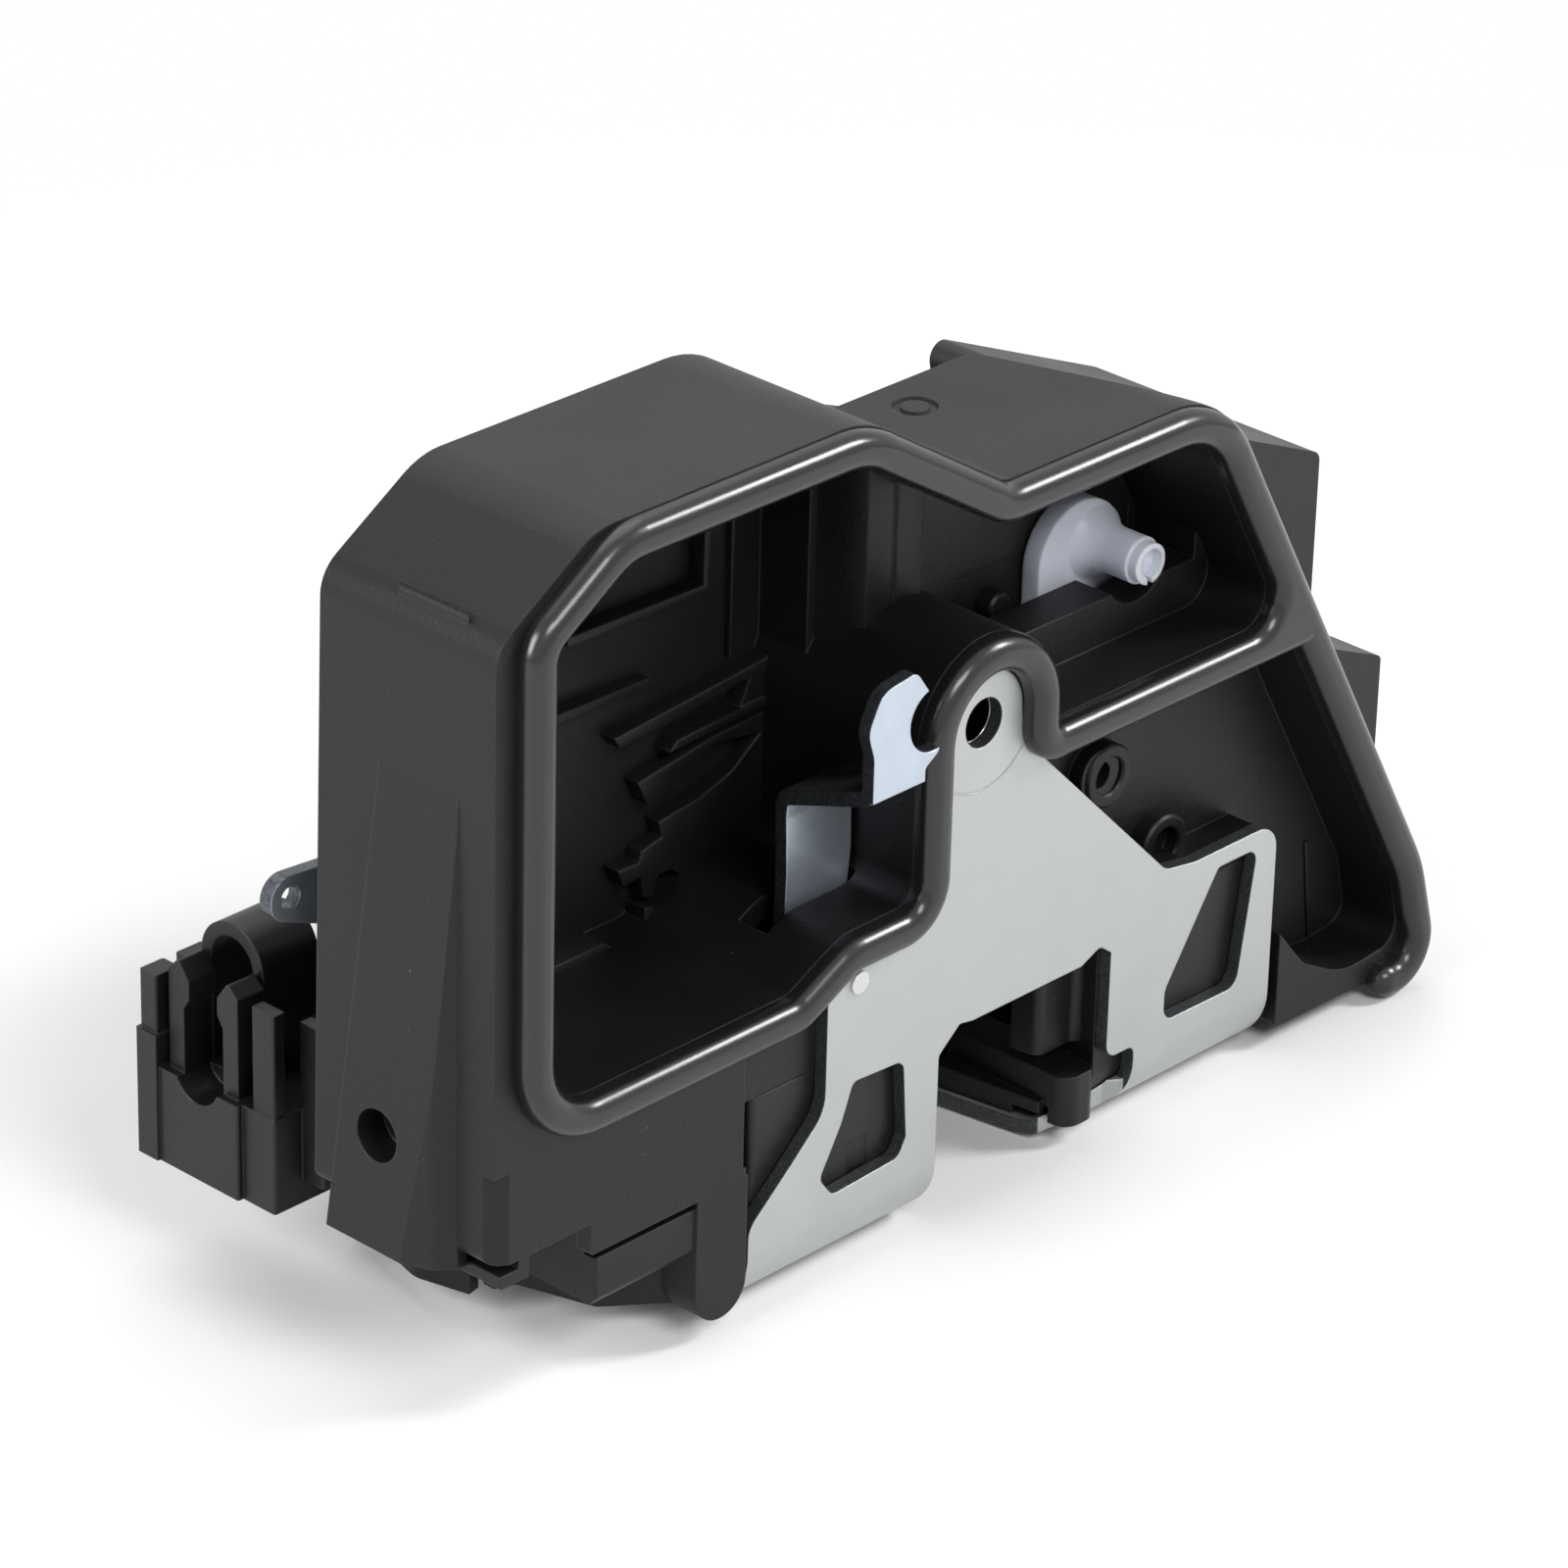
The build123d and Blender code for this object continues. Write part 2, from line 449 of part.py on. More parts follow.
# ---------------------------------------------------------------- latch body
with BuildPart() as latch_body:
    with BuildSketch(Plane.XY.offset(FOOT_TOP)) as body_plan:
        rounded_polygon(
            (-44.0, PANEL_Y + 0.1, 1), (-44.0, 45.0, 4), (43.5, 45.0, 4), (43.5, PANEL_Y + 0.1, 1),
        )
    extrude(amount=BODY_HIGH - FOOT_TOP)
    with BuildSketch(Plane.YZ.offset(-60)) as bend_room:
        with BuildLine() as corner:
            Line((0, FOOT_TOP), (8.5, FOOT_TOP))
            RadiusArc((8.5, FOOT_TOP), (PANEL_Y, FOOT_TOP + 6.5), 6.6)
            Polyline((PANEL_Y, FOOT_TOP + 6.5), (0, FOOT_TOP + 6.5), (0, FOOT_TOP))
        make_face()
    extrude(amount=120, mode=Mode.SUBTRACT)
    with BuildSketch(Plane.XY.offset(FOOT_TOP)) as mechanism_room:
        rounded_polygon(
            (-41.6, 9.0, 2), (-41.6, 42.6, 3), (41.1, 42.6, 3), (41.1, 9.0, 2),
        )
    extrude(amount=ROOM_HIGH - FOOT_TOP, mode=Mode.SUBTRACT)
    with BuildSketch(Plane.XY.offset(FOOT_TOP)) as low_way:
        with Locations((0, 3.6)):
            Rectangle(2 * 14.75, 11.2)
    extrude(amount=COLUMN_LOW - FOOT_TOP, mode=Mode.SUBTRACT)
    with BuildSketch(Plane.XY.offset(FOOT_TOP)) as striker_way:
        rounded_polygon(
            (-MOUTH_HALF, -2, 0), (-MOUTH_HALF, 11.0, 3), (-7.5, 20.0, 4), (-7.5, 30.0, 5.4),
            (5.5, 30.0, 5.4), (5.5, 22.0, 0), (6.8, 20.0, 0),
            (8.3, 5.0, 1.2), (14.75, 5.0, 1.2), (14.75, -2, 0),
        )
    extrude(amount=MOUTH_TOP - FOOT_TOP, mode=Mode.SUBTRACT)
    with BuildSketch(Plane.XY.offset(-0.8)) as lining_nose:
        rounded_polygon((9.3, 1.0, 2.2), (9.3, 3.9, 0), (10.6, 3.7, 0), (14.6, 3.1, 0), (14.6, 1.0, 1.6))
    extrude(amount=LINING_HIGH + 0.8)
    with BuildSketch(Plane.XY.offset(1.2)) as lining_wall:
        rounded_polygon(
            (9.3, 2.9, 0), (9.3, 20.0, 0), (14.6, 20.0, 2), (14.6, 9.2, 0), (16.0, 9.2, 0),
            (16.0, 5.6, 0), (14.6, 5.6, 0), (14.6, 2.9, 0),
        )
    extrude(amount=LINING_HIGH - 1.2)
    with BuildSketch(Plane.XY.offset(0.2)) as lining_ledge:
        rounded_polygon((8.7, 4.8, 0), (14.0, 4.8, 0), (14.0, 20.0, 0), (6.6, 20.0, 0))
    extrude(amount=1.6)
    with BuildSketch(Plane.XY.offset(FOOT_TOP)) as ledge_foot:
        rounded_polygon((8.4, 8.8, 0), (14.0, 8.8, 0), (14.0, 20.0, 0), (6.6, 20.0, 0))
    extrude(amount=1.6)
    with BuildSketch(Plane.XY.offset(ROOM_HIGH)) as bumper_seat:
        with Locations((-1.0, 30.6)):
            Rectangle(10.2, 4.6)
    extrude(amount=MOUTH_TOP - ROOM_HIGH, mode=Mode.SUBTRACT)
    with BuildSketch(Plane.XY.offset(FOOT_TOP)) as jaw_room:
        with Locations((-20.0, 6.0)):
            Rectangle(16.0, 12.0)
    extrude(amount=CATCH_HIGH + 1.2 - FOOT_TOP, mode=Mode.SUBTRACT)
    with BuildSketch(Plane.XY.offset(BODY_HIGH)) as lightening:
        rounded_polygon((-41.6, 20.0, 2), (-41.6, 42.6, 2), (-10.5, 42.6, 2), (-10.5, 20.0, 2))
        rounded_polygon((9.0, 14.0, 2), (9.0, 42.6, 2), (41.1, 42.6, 2), (41.1, 14.0, 2))
    extrude(amount=-(BODY_HIGH - ROOM_HIGH - 2.2), mode=Mode.SUBTRACT)
latch_body.part.label = "latch_body"
export_step(latch_body.part, "parts/latch_body.step")

with BuildPart() as back_plate:
    with BuildSketch(Plane.XY.offset(ROOM_HIGH - 1.8)) as backing:
        rounded_polygon(
            (-40.5, 12.0, 4), (-40.5, 41.5, 4), (40.0, 41.5, 4), (40.0, 10.0, 4), (15.5, 10.0, 2),
            (6.5, 21.0, 4), (6.5, 31.0, 6.4), (-8.5, 31.0, 6.4), (-8.5, 21.0, 4), (-15.5, 12.0, 2),
        )
        with Locations((CATCH_X, CATCH_Y), (PAWL_X, PAWL_Y)):
            Circle(PIN_R, mode=Mode.SUBTRACT)
    extrude(amount=1.7)
back_plate.part.label = "back_plate"
export_step(back_plate.part, "parts/back_plate.step")


# ---------------------------------------------------------------- catch and pawl
def pivot_pin(x, y):
    """Shouldered steel pin riveted between the foot and the back plate."""
    with BuildPart() as pin:
        with Locations((x, y, FOOT_Z)):
            Cylinder(PIN_R, ROOM_HIGH - 0.1 - FOOT_Z, align=(Align.CENTER, Align.CENTER, Align.MIN))
        with Locations((x, y, FOOT_TOP)):
            Cylinder(SHOULDER_R, ROOM_HIGH - 1.8 - FOOT_TOP, align=(Align.CENTER, Align.CENTER, Align.MIN))
    return pin.part


catch_pin = pivot_pin(CATCH_X, CATCH_Y)
catch_pin.label = "catch_pin"
export_step(catch_pin, "parts/catch_pin.step")
pawl_pin = pivot_pin(PAWL_X, PAWL_Y)
pawl_pin.label = "pawl_pin"
export_step(pawl_pin, "parts/pawl_pin.step")

CLAW = [
    (-8.5, -6.0, 5), (-1.0, -9.0, 6), (18.0, -9.0, 3.0), (18.0, -3.75, 0.8), (17.0, -3.75, 0),
    (17.0, 5.75, 0), (26.0, 5.75, 1.5), (26.0, 11.5, 3), (9.0, 12.5, 8), (-8.5, 8.5, 6),
]


def claw_outline():
    """Catch outline about its pivot, with the round end of the striker slot."""
    with BuildSketch() as outline:
        rounded_polygon(*CLAW)
        with Locations((17.0, 1.0)):
            Circle(SLOT_R, mode=Mode.SUBTRACT)
    return outline.sketch


with BuildPart() as catch:
    with BuildSketch(Plane((CATCH_X, CATCH_Y, CATCH_LOW))) as claw:
        add(claw_outline())
        Circle(SHOULDER_R + PIN_FIT, mode=Mode.SUBTRACT)
    extrude(amount=CATCH_HIGH - CATCH_LOW)
catch.part.label = "catch"
export_step(catch.part, "parts/catch.step")

with BuildPart() as catch_jacket:
    with BuildSketch(Plane((CATCH_X, CATCH_Y, CATCH_LOW - 0.4))) as coat:
        add(offset(claw_outline(), amount=0.9, mode=Mode.PRIVATE))
        with Locations((19.5, -13.0)):
            Rectangle(6.0, 16.0, mode=Mode.SUBTRACT)
        with Locations((-10.0, 0.0)):
            Rectangle(16.0, 40.0, mode=Mode.SUBTRACT)
        Circle(SHOULDER_R + 1.5, mode=Mode.SUBTRACT)
    extrude(amount=CATCH_HIGH - CATCH_LOW + 0.8)
    add(catch.part, mode=Mode.SUBTRACT)
catch_jacket.part.label = "catch_jacket"
export_step(catch_jacket.part, "parts/catch_jacket.step")

with BuildPart() as pawl:
    with BuildSketch(Plane.XY.offset(CATCH_LOW)) as pawl_plan:
        add(hull_of_discs((PAWL_X, PAWL_Y, 6.5), (13.1, 28.6, 1.6), (17.2, 30.6, 1.6)))
        add(hull_of_discs((PAWL_X, PAWL_Y, 6.0), (30.5, 31.0, 2.3)))
        with Locations((PAWL_X, PAWL_Y)):
            Circle(SHOULDER_R + PIN_FIT, mode=Mode.SUBTRACT)
    extrude(amount=CATCH_HIGH - CATCH_LOW)
pawl.part.label = "pawl"
export_step(pawl.part, "parts/pawl.step")


def torsion_spring(x, y, low):
    """Flat torsion spring of round wire, wound about a pivot shoulder."""
    turns = Helix(pitch=0.75, height=1.1, radius=SHOULDER_R + 0.9, center=(x, y, low))
    with BuildPart() as spring:
        with BuildSketch(Plane(origin=turns @ 0, z_dir=turns % 0)):
            Circle(0.3)
        sweep(path=turns)
    return spring.part


catch_spring = torsion_spring(CATCH_X, CATCH_Y, CATCH_HIGH + 1.1)
catch_spring.label = "catch_spring"
export_step(catch_spring, "parts/catch_spring.step")
pawl_spring = torsion_spring(PAWL_X, PAWL_Y, CATCH_HIGH + 0.9)
pawl_spring.label = "pawl_spring"
export_step(pawl_spring, "parts/pawl_spring.step")


# ---------------------------------------------------------------- outer release lever
STRAP = 1.75
with BuildPart() as release_lever:
    with BuildSketch(at_depth(-2.25)) as hook:
        rounded_polygon(
            (-31.8, 58.6, 0), (-31.8, 64.2, 3), (-32.9, 67.6, 3), (-30.7, 71.9, 3), (-25.3, 72.6, 1.4),
            (-23.2, 69.6, 0.4), (-21.1, 61.7, 0.9), (-23.4, 60.2, 0.8), (-23.4, 58.6, 0),
        )
        with Locations((-22.2, 65.9)):
            Circle(3.9, mode=Mode.SUBTRACT)
    extrude(amount=STRAP)
    with BuildSketch(Plane.YZ.offset(-31.8)) as jog:
        rounded_polygon(
            (-4.0, 61.0, 0), (-2.25, 61.0, 0), (-2.25, 59.5, 0.6), (10.1, 55.4, 1.6), (10.75, 52.0, 0),
            (9.0, 52.0, 0), (8.8, 53.9, 0.4), (-4.0, 58.3, 1.8),
        )
    extrude(amount=8.4)
    with BuildSketch(at_depth(10.75)) as blade:
        add(hull_of_discs((RELEASE_X, RELEASE_Z, 4.8), (-30.3, 45.0, 1.2), (-22.2, 45.0, 1.2)))
        rounded_polygon(
            (-31.8, 54.2, 0.5), (-23.4, 53.8, 0), (-21.1, 51.2, 1.5),
            (-21.0, 45.0, 0), (-31.5, 45.0, 0),
        )
        with Locations((RELEASE_X, RELEASE_Z)):
            Circle(2.0 + PIN_FIT, mode=Mode.SUBTRACT)
    extrude(amount=STRAP)
    with BuildSketch(at_depth(24.0)) as finger:
        with Locations((-29.2, 29.0)):
            Rectangle(3.4, STRAP)
    extrude(amount=24.0 - 9.0)
release_lever.part.label = "release_lever"
export_step(release_lever.part, "parts/release_lever.step")

with BuildPart() as release_pin:
    with BuildSketch(at_depth(12.6)) as pin_head:
        with Locations((RELEASE_X, RELEASE_Z)):
            Circle(2.9)
    extrude(amount=1.6)
    with BuildSketch(at_depth(12.0)) as pin_shank:
        with Locations((RELEASE_X, RELEASE_Z)):
            Circle(2.0)
    extrude(amount=7.0)
release_pin.part.label = "release_pin"
export_step(release_pin.part, "parts/release_pin.step")


# ---------------------------------------------------------------- key cam
with BuildPart() as key_cam:
    with BuildSketch(at_depth(18.2)) as cam_plate:
        add(hull_of_discs((24.3, 64.0, 7.2), (19.6, 56.4, 2.5), (28.0, 57.0, 3.0)))
    extrude(amount=2.6)
    with BuildSketch(Plane.YZ.offset(CAM_X)) as knob_section:
        with BuildLine():
            Polyline(
                (11.8, CAM_Z + KNOB_R), (8.4, CAM_Z + KNOB_R), (8.4, CAM_Z + 2.55), (7.0, CAM_Z + 2.55),
                (7.0, CAM_Z), (22.0, CAM_Z), (22.0, CAM_Z + SHANK_R), (15.6, CAM_Z + SHANK_R),
                (15.6, CAM_Z + 4.6),
            )
            ThreePointArc((15.6, CAM_Z + 4.6), (13.9, CAM_Z + 3.3), (11.8, CAM_Z + KNOB_R))
        make_face()
    revolve(axis=Axis((CAM_X, 0, CAM_Z), (0, 1, 0)))
    with BuildSketch(at_depth(8.4)) as key_slot:
        with Locations((CAM_X, CAM_Z - 1.9)):
            Rectangle(0.9, 3.0)
        with Locations((CAM_X + 0.3, CAM_Z)):
            Circle(1.8)
    extrude(amount=3.0, mode=Mode.SUBTRACT)
key_cam.part.label = "key_cam"
export_step(key_cam.part, "parts/key_cam.step")


# ---------------------------------------------------------------- actuator gears
def gear_face(teeth, phase, bore):
    """Spur gear outline with straight-sided teeth; a tooth is centred on phase (degrees)."""
    pitch_r = GEAR_MODULE * teeth / 2
    levels = (
        (pitch_r - 1.15 * GEAR_MODULE, 0.34), (pitch_r, 0.225), (pitch_r + 0.9 * GEAR_MODULE, 0.11),
    )
    points = []
    for tooth in range(teeth):
        centre = radians(phase) + 2 * pi * tooth / teeth
        for side in (-1, 1):
            for radius, share in levels[::-side]:
                angle = centre + side * share * 2 * pi / teeth
                points.append((radius * cos(angle), radius * sin(angle)))
    with BuildSketch() as face:
        with BuildLine() as edge:
            Polyline(points, close=True)
        make_face(edge.edges())
        Circle(bore, mode=Mode.SUBTRACT)
    return face.sketch


WHEEL_TEETH, WHEEL_PINION, MOTOR_TEETH, SECTOR_TEETH = 32, 12, 10, 40
to_motor = degrees(atan2(MOTOR_Z - WHEEL_Z, MOTOR_X - WHEEL_X))
to_lock = degrees(atan2(LOCK_Z - WHEEL_Z, LOCK_X - WHEEL_X))

with BuildPart() as actuator_wheel:
    with BuildSketch(at_depth(27.6)) as wheel_teeth:
        with Locations((WHEEL_X, WHEEL_Z)):
            add(gear_face(WHEEL_TEETH, to_motor, 2.0 + PIN_FIT))
    extrude(amount=5.0)
    with BuildSketch(at_depth(33.2)) as pinion_teeth:
        with Locations((WHEEL_X, WHEEL_Z)):
            add(gear_face(WHEEL_PINION, to_lock, 2.0 + PIN_FIT))
    extrude(amount=5.6)
actuator_wheel.part.label = "actuator_wheel"
export_step(actuator_wheel.part, "parts/actuator_wheel.step")

with BuildPart() as motor_pinion:
    with BuildSketch(at_depth(27.4)) as small_teeth:
        with Locations((MOTOR_X, MOTOR_Z)):
            add(gear_face(MOTOR_TEETH, to_motor + 180 + 180 / MOTOR_TEETH, 1.0))
    extrude(amount=4.6)
motor_pinion.part.label = "motor_pinion"
export_step(motor_pinion.part, "parts/motor_pinion.step")

with BuildPart() as motor_shaft:
    with BuildSketch(at_depth(52.0)) as shaft_end:
        with Locations((MOTOR_X, MOTOR_Z)):
            Circle(1.0)
    extrude(amount=29.6)
motor_shaft.part.label = "motor_shaft"
export_step(motor_shaft.part, "parts/motor_shaft.step")

with BuildPart() as motor:
    with BuildSketch(at_depth(53.0)) as can:
        with Locations((MOTOR_X, MOTOR_Z)):
            Circle(10.0)
            Rectangle(30.0, 15.4, mode=Mode.INTERSECT)
    extrude(amount=23.0)
    fillet(motor.faces().sort_by(Axis.Y)[0].edges(), radius=1.2)
    with BuildSketch(at_depth(31.0)) as nose:
        with Locations((MOTOR_X, MOTOR_Z)):
            Circle(3.0)
    extrude(amount=2.6)
    with BuildSketch(at_depth(52.2)) as shaft_bore:
        with Locations((MOTOR_X, MOTOR_Z)):
            Circle(1.0 + PIN_FIT)
    extrude(amount=30.0, mode=Mode.SUBTRACT)
motor.part.label = "motor"
export_step(motor.part, "parts/motor.step")

with BuildPart() as lock_lever:
    with BuildSketch(at_depth(32.4)) as sector:
        with BuildSketch(mode=Mode.PRIVATE) as toothed:
            with Locations((LOCK_X, LOCK_Z)):
                add(gear_face(SECTOR_TEETH, to_lock + 180 / SECTOR_TEETH, 2.0 + PIN_FIT))
            with Locations(Location((LOCK_X, LOCK_Z), to_lock + 180)):
                with Locations((13.0, 0)):
                    Rectangle(26.0, 19.0, mode=Mode.INTERSECT)
        add(toothed.sketch)
        add(hull_of_discs((LOCK_X, LOCK_Z, 6.5), (LOCK_X - 2.0, LOCK_Z + 22.0, 2.6)))
        with Locations((LOCK_X, LOCK_Z)):
            Circle(2.0 + PIN_FIT, mode=Mode.SUBTRACT)
    extrude(amount=3.4)
lock_lever.part.label = "lock_lever"
export_step(lock_lever.part, "parts/lock_lever.step")


def axle(x, z, front, back, radius):
    """Plain steel axle parallel to Y."""
    with BuildPart() as rod:
        with BuildSketch(at_depth(back)):
            with Locations((x, z)):
                Circle(radius)
        extrude(amount=back - front)
    return rod.part


wheel_pin = axle(WHEEL_X, WHEEL_Z, 11.2, COVER_BACK - WALL, 2.0)
wheel_pin.label = "wheel_pin"
export_step(wheel_pin, "parts/wheel_pin.step")
lock_pin = axle(LOCK_X, LOCK_Z, BOX_DEPTH, COVER_BACK - WALL, 2.0)
lock_pin.label = "lock_pin"
export_step(lock_pin, "parts/lock_pin.step")


# ---------------------------------------------------------------- inner release lever and cable holder
with BuildPart() as inside_lever:
    with BuildSketch(at_depth(36.5)) as rocker:
        add(hull_of_discs((INSIDE_X, INSIDE_Z, 6.0), (-83.2, 51.0, 2.7)))
        add(hull_of_discs((INSIDE_X, INSIDE_Z, 6.0), (-43.5, 50.0, 2.8)))
        with Locations((INSIDE_X, INSIDE_Z)):
            Circle(2.0 + PIN_FIT, mode=Mode.SUBTRACT)
        with Locations((-83.0, 51.0)):
            Circle(1.4, mode=Mode.SUBTRACT)
    extrude(amount=STRAP)
inside_lever.part.label = "inside_lever"
export_step(inside_lever.part, "parts/inside_lever.step")

with BuildPart() as inside_pin:
    with BuildSketch(at_depth(38.2)) as stud_head:
        with Locations((INSIDE_X, INSIDE_Z)):
            Circle(3.6)
    extrude(amount=1.5)
    with BuildSketch(at_depth(37.0)) as stud:
        with Locations((INSIDE_X, INSIDE_Z)):
            Circle(2.0)
    extrude(amount=37.0 - BOX_DEPTH)
inside_pin.part.label = "inside_pin"
export_step(inside_pin.part, "parts/inside_pin.step")

with BuildPart() as cable_holder:
    with BuildSketch(Plane.XY.offset(HOLDER_LOW)) as holder_block:
        rounded_polygon((-85.0, 41.6, 0.3), (-85.0, 54.9, 0.3), (-71.0, 54.9, 1), (-71.0, 41.6, 1))
    extrude(amount=HOLDER_TOP - HOLDER_LOW)
    with BuildSketch(Plane.YZ.offset(-86)) as saddle_notch:
        with Locations((48.3, HOLDER_TOP + 1.4)):
            Circle(3.6)
    extrude(amount=6, mode=Mode.SUBTRACT)
    with BuildSketch(Plane.XY.offset(HOLDER_LOW)) as back_post:
        rounded_polygon((-85.4, 54.6, 0), (-85.4, 58.0, 0.3), (-73.0, 58.0, 1), (-73.0, 54.6, 0))
    extrude(amount=16.0)
    with BuildSketch(Plane.XY.offset(26.0)) as back_prongs:
        rounded_polygon((-85.0, 54.9, 0.3), (-85.0, 57.6, 0.3), (-81.4, 57.6, 0.3), (-81.4, 54.9, 0.3))
        rounded_polygon((-79.6, 54.9, 0.3), (-79.6, 57.6, 0.3), (-75.6, 57.6, 0.3), (-75.6, 54.9, 0.3))
    extrude(amount=8.2)
    with BuildSketch(Plane.XY.offset(HOLDER_LOW)) as front_post:
        rounded_polygon((-84.2, 36.4, 0.3), (-84.2, 41.7, 0), (-74.0, 41.7, 0), (-74.0, 36.4, 1))
    extrude(amount=HOLDER_TOP - HOLDER_LOW)
    with BuildSketch(Plane.XY.offset(HOLDER_LOW + 3)) as front_rib:
        rounded_polygon((-80.0, 33.0, 0.3), (-80.0, 36.6, 0), (-78.4, 36.6, 0), (-78.4, 33.0, 0.3))
    extrude(amount=20.0)
    with BuildSketch(Plane.XY.offset(HOLDER_TOP - 1)) as front_prong:
        rounded_polygon((-84.0, 36.6, 0.3), (-84.0, 40.2, 0.3), (-82.2, 40.2, 0.3), (-82.2, 36.6, 0.3))
    extrude(amount=14.0)
    for side_y, ramp in ((42.6, 1), (53.9, -1)):
        with BuildSketch(Plane.YZ.offset(-83.9)) as snap_arm:
            rounded_polygon(
                (side_y, HOLDER_TOP - 1, 0), (side_y, 35.4, 0), (side_y + 1.6 * ramp, 37.0, 0.3),
                (side_y + 3.3 * ramp, 34.6, 0.4), (side_y + 3.3 * ramp, 32.4, 0.4),
                (side_y + 2.4 * ramp, 31.0, 0.4), (side_y + 2.4 * ramp, HOLDER_TOP - 1, 0),
            )
        extrude(amount=4.0)
    with BuildSketch(Plane.YZ.offset(-79.4)) as cable_arch:
        with Locations((48.3, 36.2)):
            Circle(5.1)
        with Locations((48.3, 29.0)):
            Rectangle(10.2, 14.4)
        with Locations((48.3, 36.2)):
            Circle(3.4, mode=Mode.SUBTRACT)
        with Locations((48.3, 29.0)):
            Rectangle(6.8, 14.4, mode=Mode.SUBTRACT)
    extrude(amount=8.4)
    with BuildSketch(Plane.XY.offset(HOLDER_TOP)) as holder_arm:
        with Locations((-62.0, 41.2)):
            Rectangle(20.0, 6.4)
    extrude(amount=6.2)
cable_holder.part.label = "cable_holder"
export_step(cable_holder.part, "parts/cable_holder.step")


# ---------------------------------------------------------------- small parts
with BuildPart() as striker_bumper:
    with BuildSketch(Plane.XY.offset(ROOM_HIGH + 0.1)) as pad:
        with Locations((-1.0, 31.0)):
            RectangleRounded(10.0, 3.6, 0.8)
    extrude(amount=MOUTH_TOP - ROOM_HIGH - 0.4)
striker_bumper.part.label = "striker_bumper"
export_step(striker_bumper.part, "parts/striker_bumper.step")

with BuildPart() as hole_collar:
    with BuildSketch(at_depth(8.0)) as collar_ring:
        with Locations((HOLE_X, HOLE_Z)):
            Circle(4.5)
            Circle(HOLE_R, mode=Mode.SUBTRACT)
    extrude(amount=8.0 - SHEET)
hole_collar.part.label = "hole_collar"
export_step(hole_collar.part, "parts/hole_collar.step")

with BuildPart() as plate_rivet:
    with BuildSketch(at_depth(5.0)) as rivet_shank:
        with Locations((RIVET_X, RIVET_Z)):
            Circle(0.9)
    extrude(amount=5.0)
    with BuildSketch(at_depth(0)) as rivet_head:
        with Locations((RIVET_X, RIVET_Z)):
            Circle(1.4)
    extrude(amount=0.5)
plate_rivet.part.label = "plate_rivet"
export_step(plate_rivet.part, "parts/plate_rivet.step")
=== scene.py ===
from math import cos, pi, radians, sin

import bmesh
import bpy
from mathutils import Matrix, Vector


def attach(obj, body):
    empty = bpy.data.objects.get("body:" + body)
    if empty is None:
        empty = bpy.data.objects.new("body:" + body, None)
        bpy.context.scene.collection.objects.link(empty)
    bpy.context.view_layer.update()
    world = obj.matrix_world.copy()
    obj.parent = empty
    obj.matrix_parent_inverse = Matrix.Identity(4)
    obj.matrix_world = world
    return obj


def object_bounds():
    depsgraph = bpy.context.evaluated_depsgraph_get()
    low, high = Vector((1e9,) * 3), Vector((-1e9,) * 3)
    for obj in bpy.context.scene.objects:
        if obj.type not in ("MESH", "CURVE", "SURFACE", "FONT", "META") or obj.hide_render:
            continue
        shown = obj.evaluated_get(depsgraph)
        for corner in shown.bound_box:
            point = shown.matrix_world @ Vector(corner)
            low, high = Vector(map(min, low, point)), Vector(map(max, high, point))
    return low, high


bl_info = {
    "name": "Door latch actuator",
    "version": (1, 0, 0),
    "blender": (4, 5, 0),
    "location": "View3D > Sidebar > Door latch",
    "description": "Dresses the packed door latch: finishes, moulded detail, stage and camera",
    "category": "Object",
}

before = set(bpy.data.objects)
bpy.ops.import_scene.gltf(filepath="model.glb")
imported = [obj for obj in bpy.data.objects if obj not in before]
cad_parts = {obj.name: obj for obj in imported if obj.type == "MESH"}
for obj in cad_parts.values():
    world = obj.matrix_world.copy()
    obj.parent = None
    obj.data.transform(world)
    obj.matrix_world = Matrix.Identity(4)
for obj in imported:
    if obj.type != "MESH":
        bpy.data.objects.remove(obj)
CAD_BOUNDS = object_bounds()
MM = 0.001

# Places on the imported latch, in millimetres.
PLATE_HOLE = Vector((-9.35, 0.0, 59.6))
CHAMBER_FLOOR = 26.4
RECESS_FLOOR = 9.0
COVER_BACK = 56.0


# ------------------------------------------------------------------ properties
class LatchFinishes(bpy.types.PropertyGroup):
    """Colours and surface grain of the latch's finishes."""

    plastic_colour: bpy.props.FloatVectorProperty(
        name="Housing plastic", description="Colour of the moulded housings",
        subtype="COLOR", size=3, min=0, max=1, default=(0.0060, 0.0060, 0.0064))
    rubber_colour: bpy.props.FloatVectorProperty(
        name="Seal rubber", description="Colour of the rubber bead",
        subtype="COLOR", size=3, min=0, max=1, default=(0.011, 0.011, 0.0118))
    zinc_colour: bpy.props.FloatVectorProperty(
        name="Zinc plate", description="Colour of the plated steel sheet",
        subtype="COLOR", size=3, min=0, max=1, default=(0.44, 0.455, 0.456))
    lever_colour: bpy.props.FloatVectorProperty(
        name="Zinc levers", description="Colour of the blue-passivated levers",
        subtype="COLOR", size=3, min=0, max=1, default=(0.46, 0.515, 0.59))
    grain_size: bpy.props.FloatProperty(
        name="Grain size", description="Size of the moulded grain",
        subtype="DISTANCE", unit="LENGTH", min=0.0001, max=0.002, default=0.00045)
    edge_radius: bpy.props.FloatProperty(
        name="Edge softness", description="Radius at which moulded edges catch the light",
        subtype="DISTANCE", unit="LENGTH", min=0.0, max=0.002, default=0.00035)


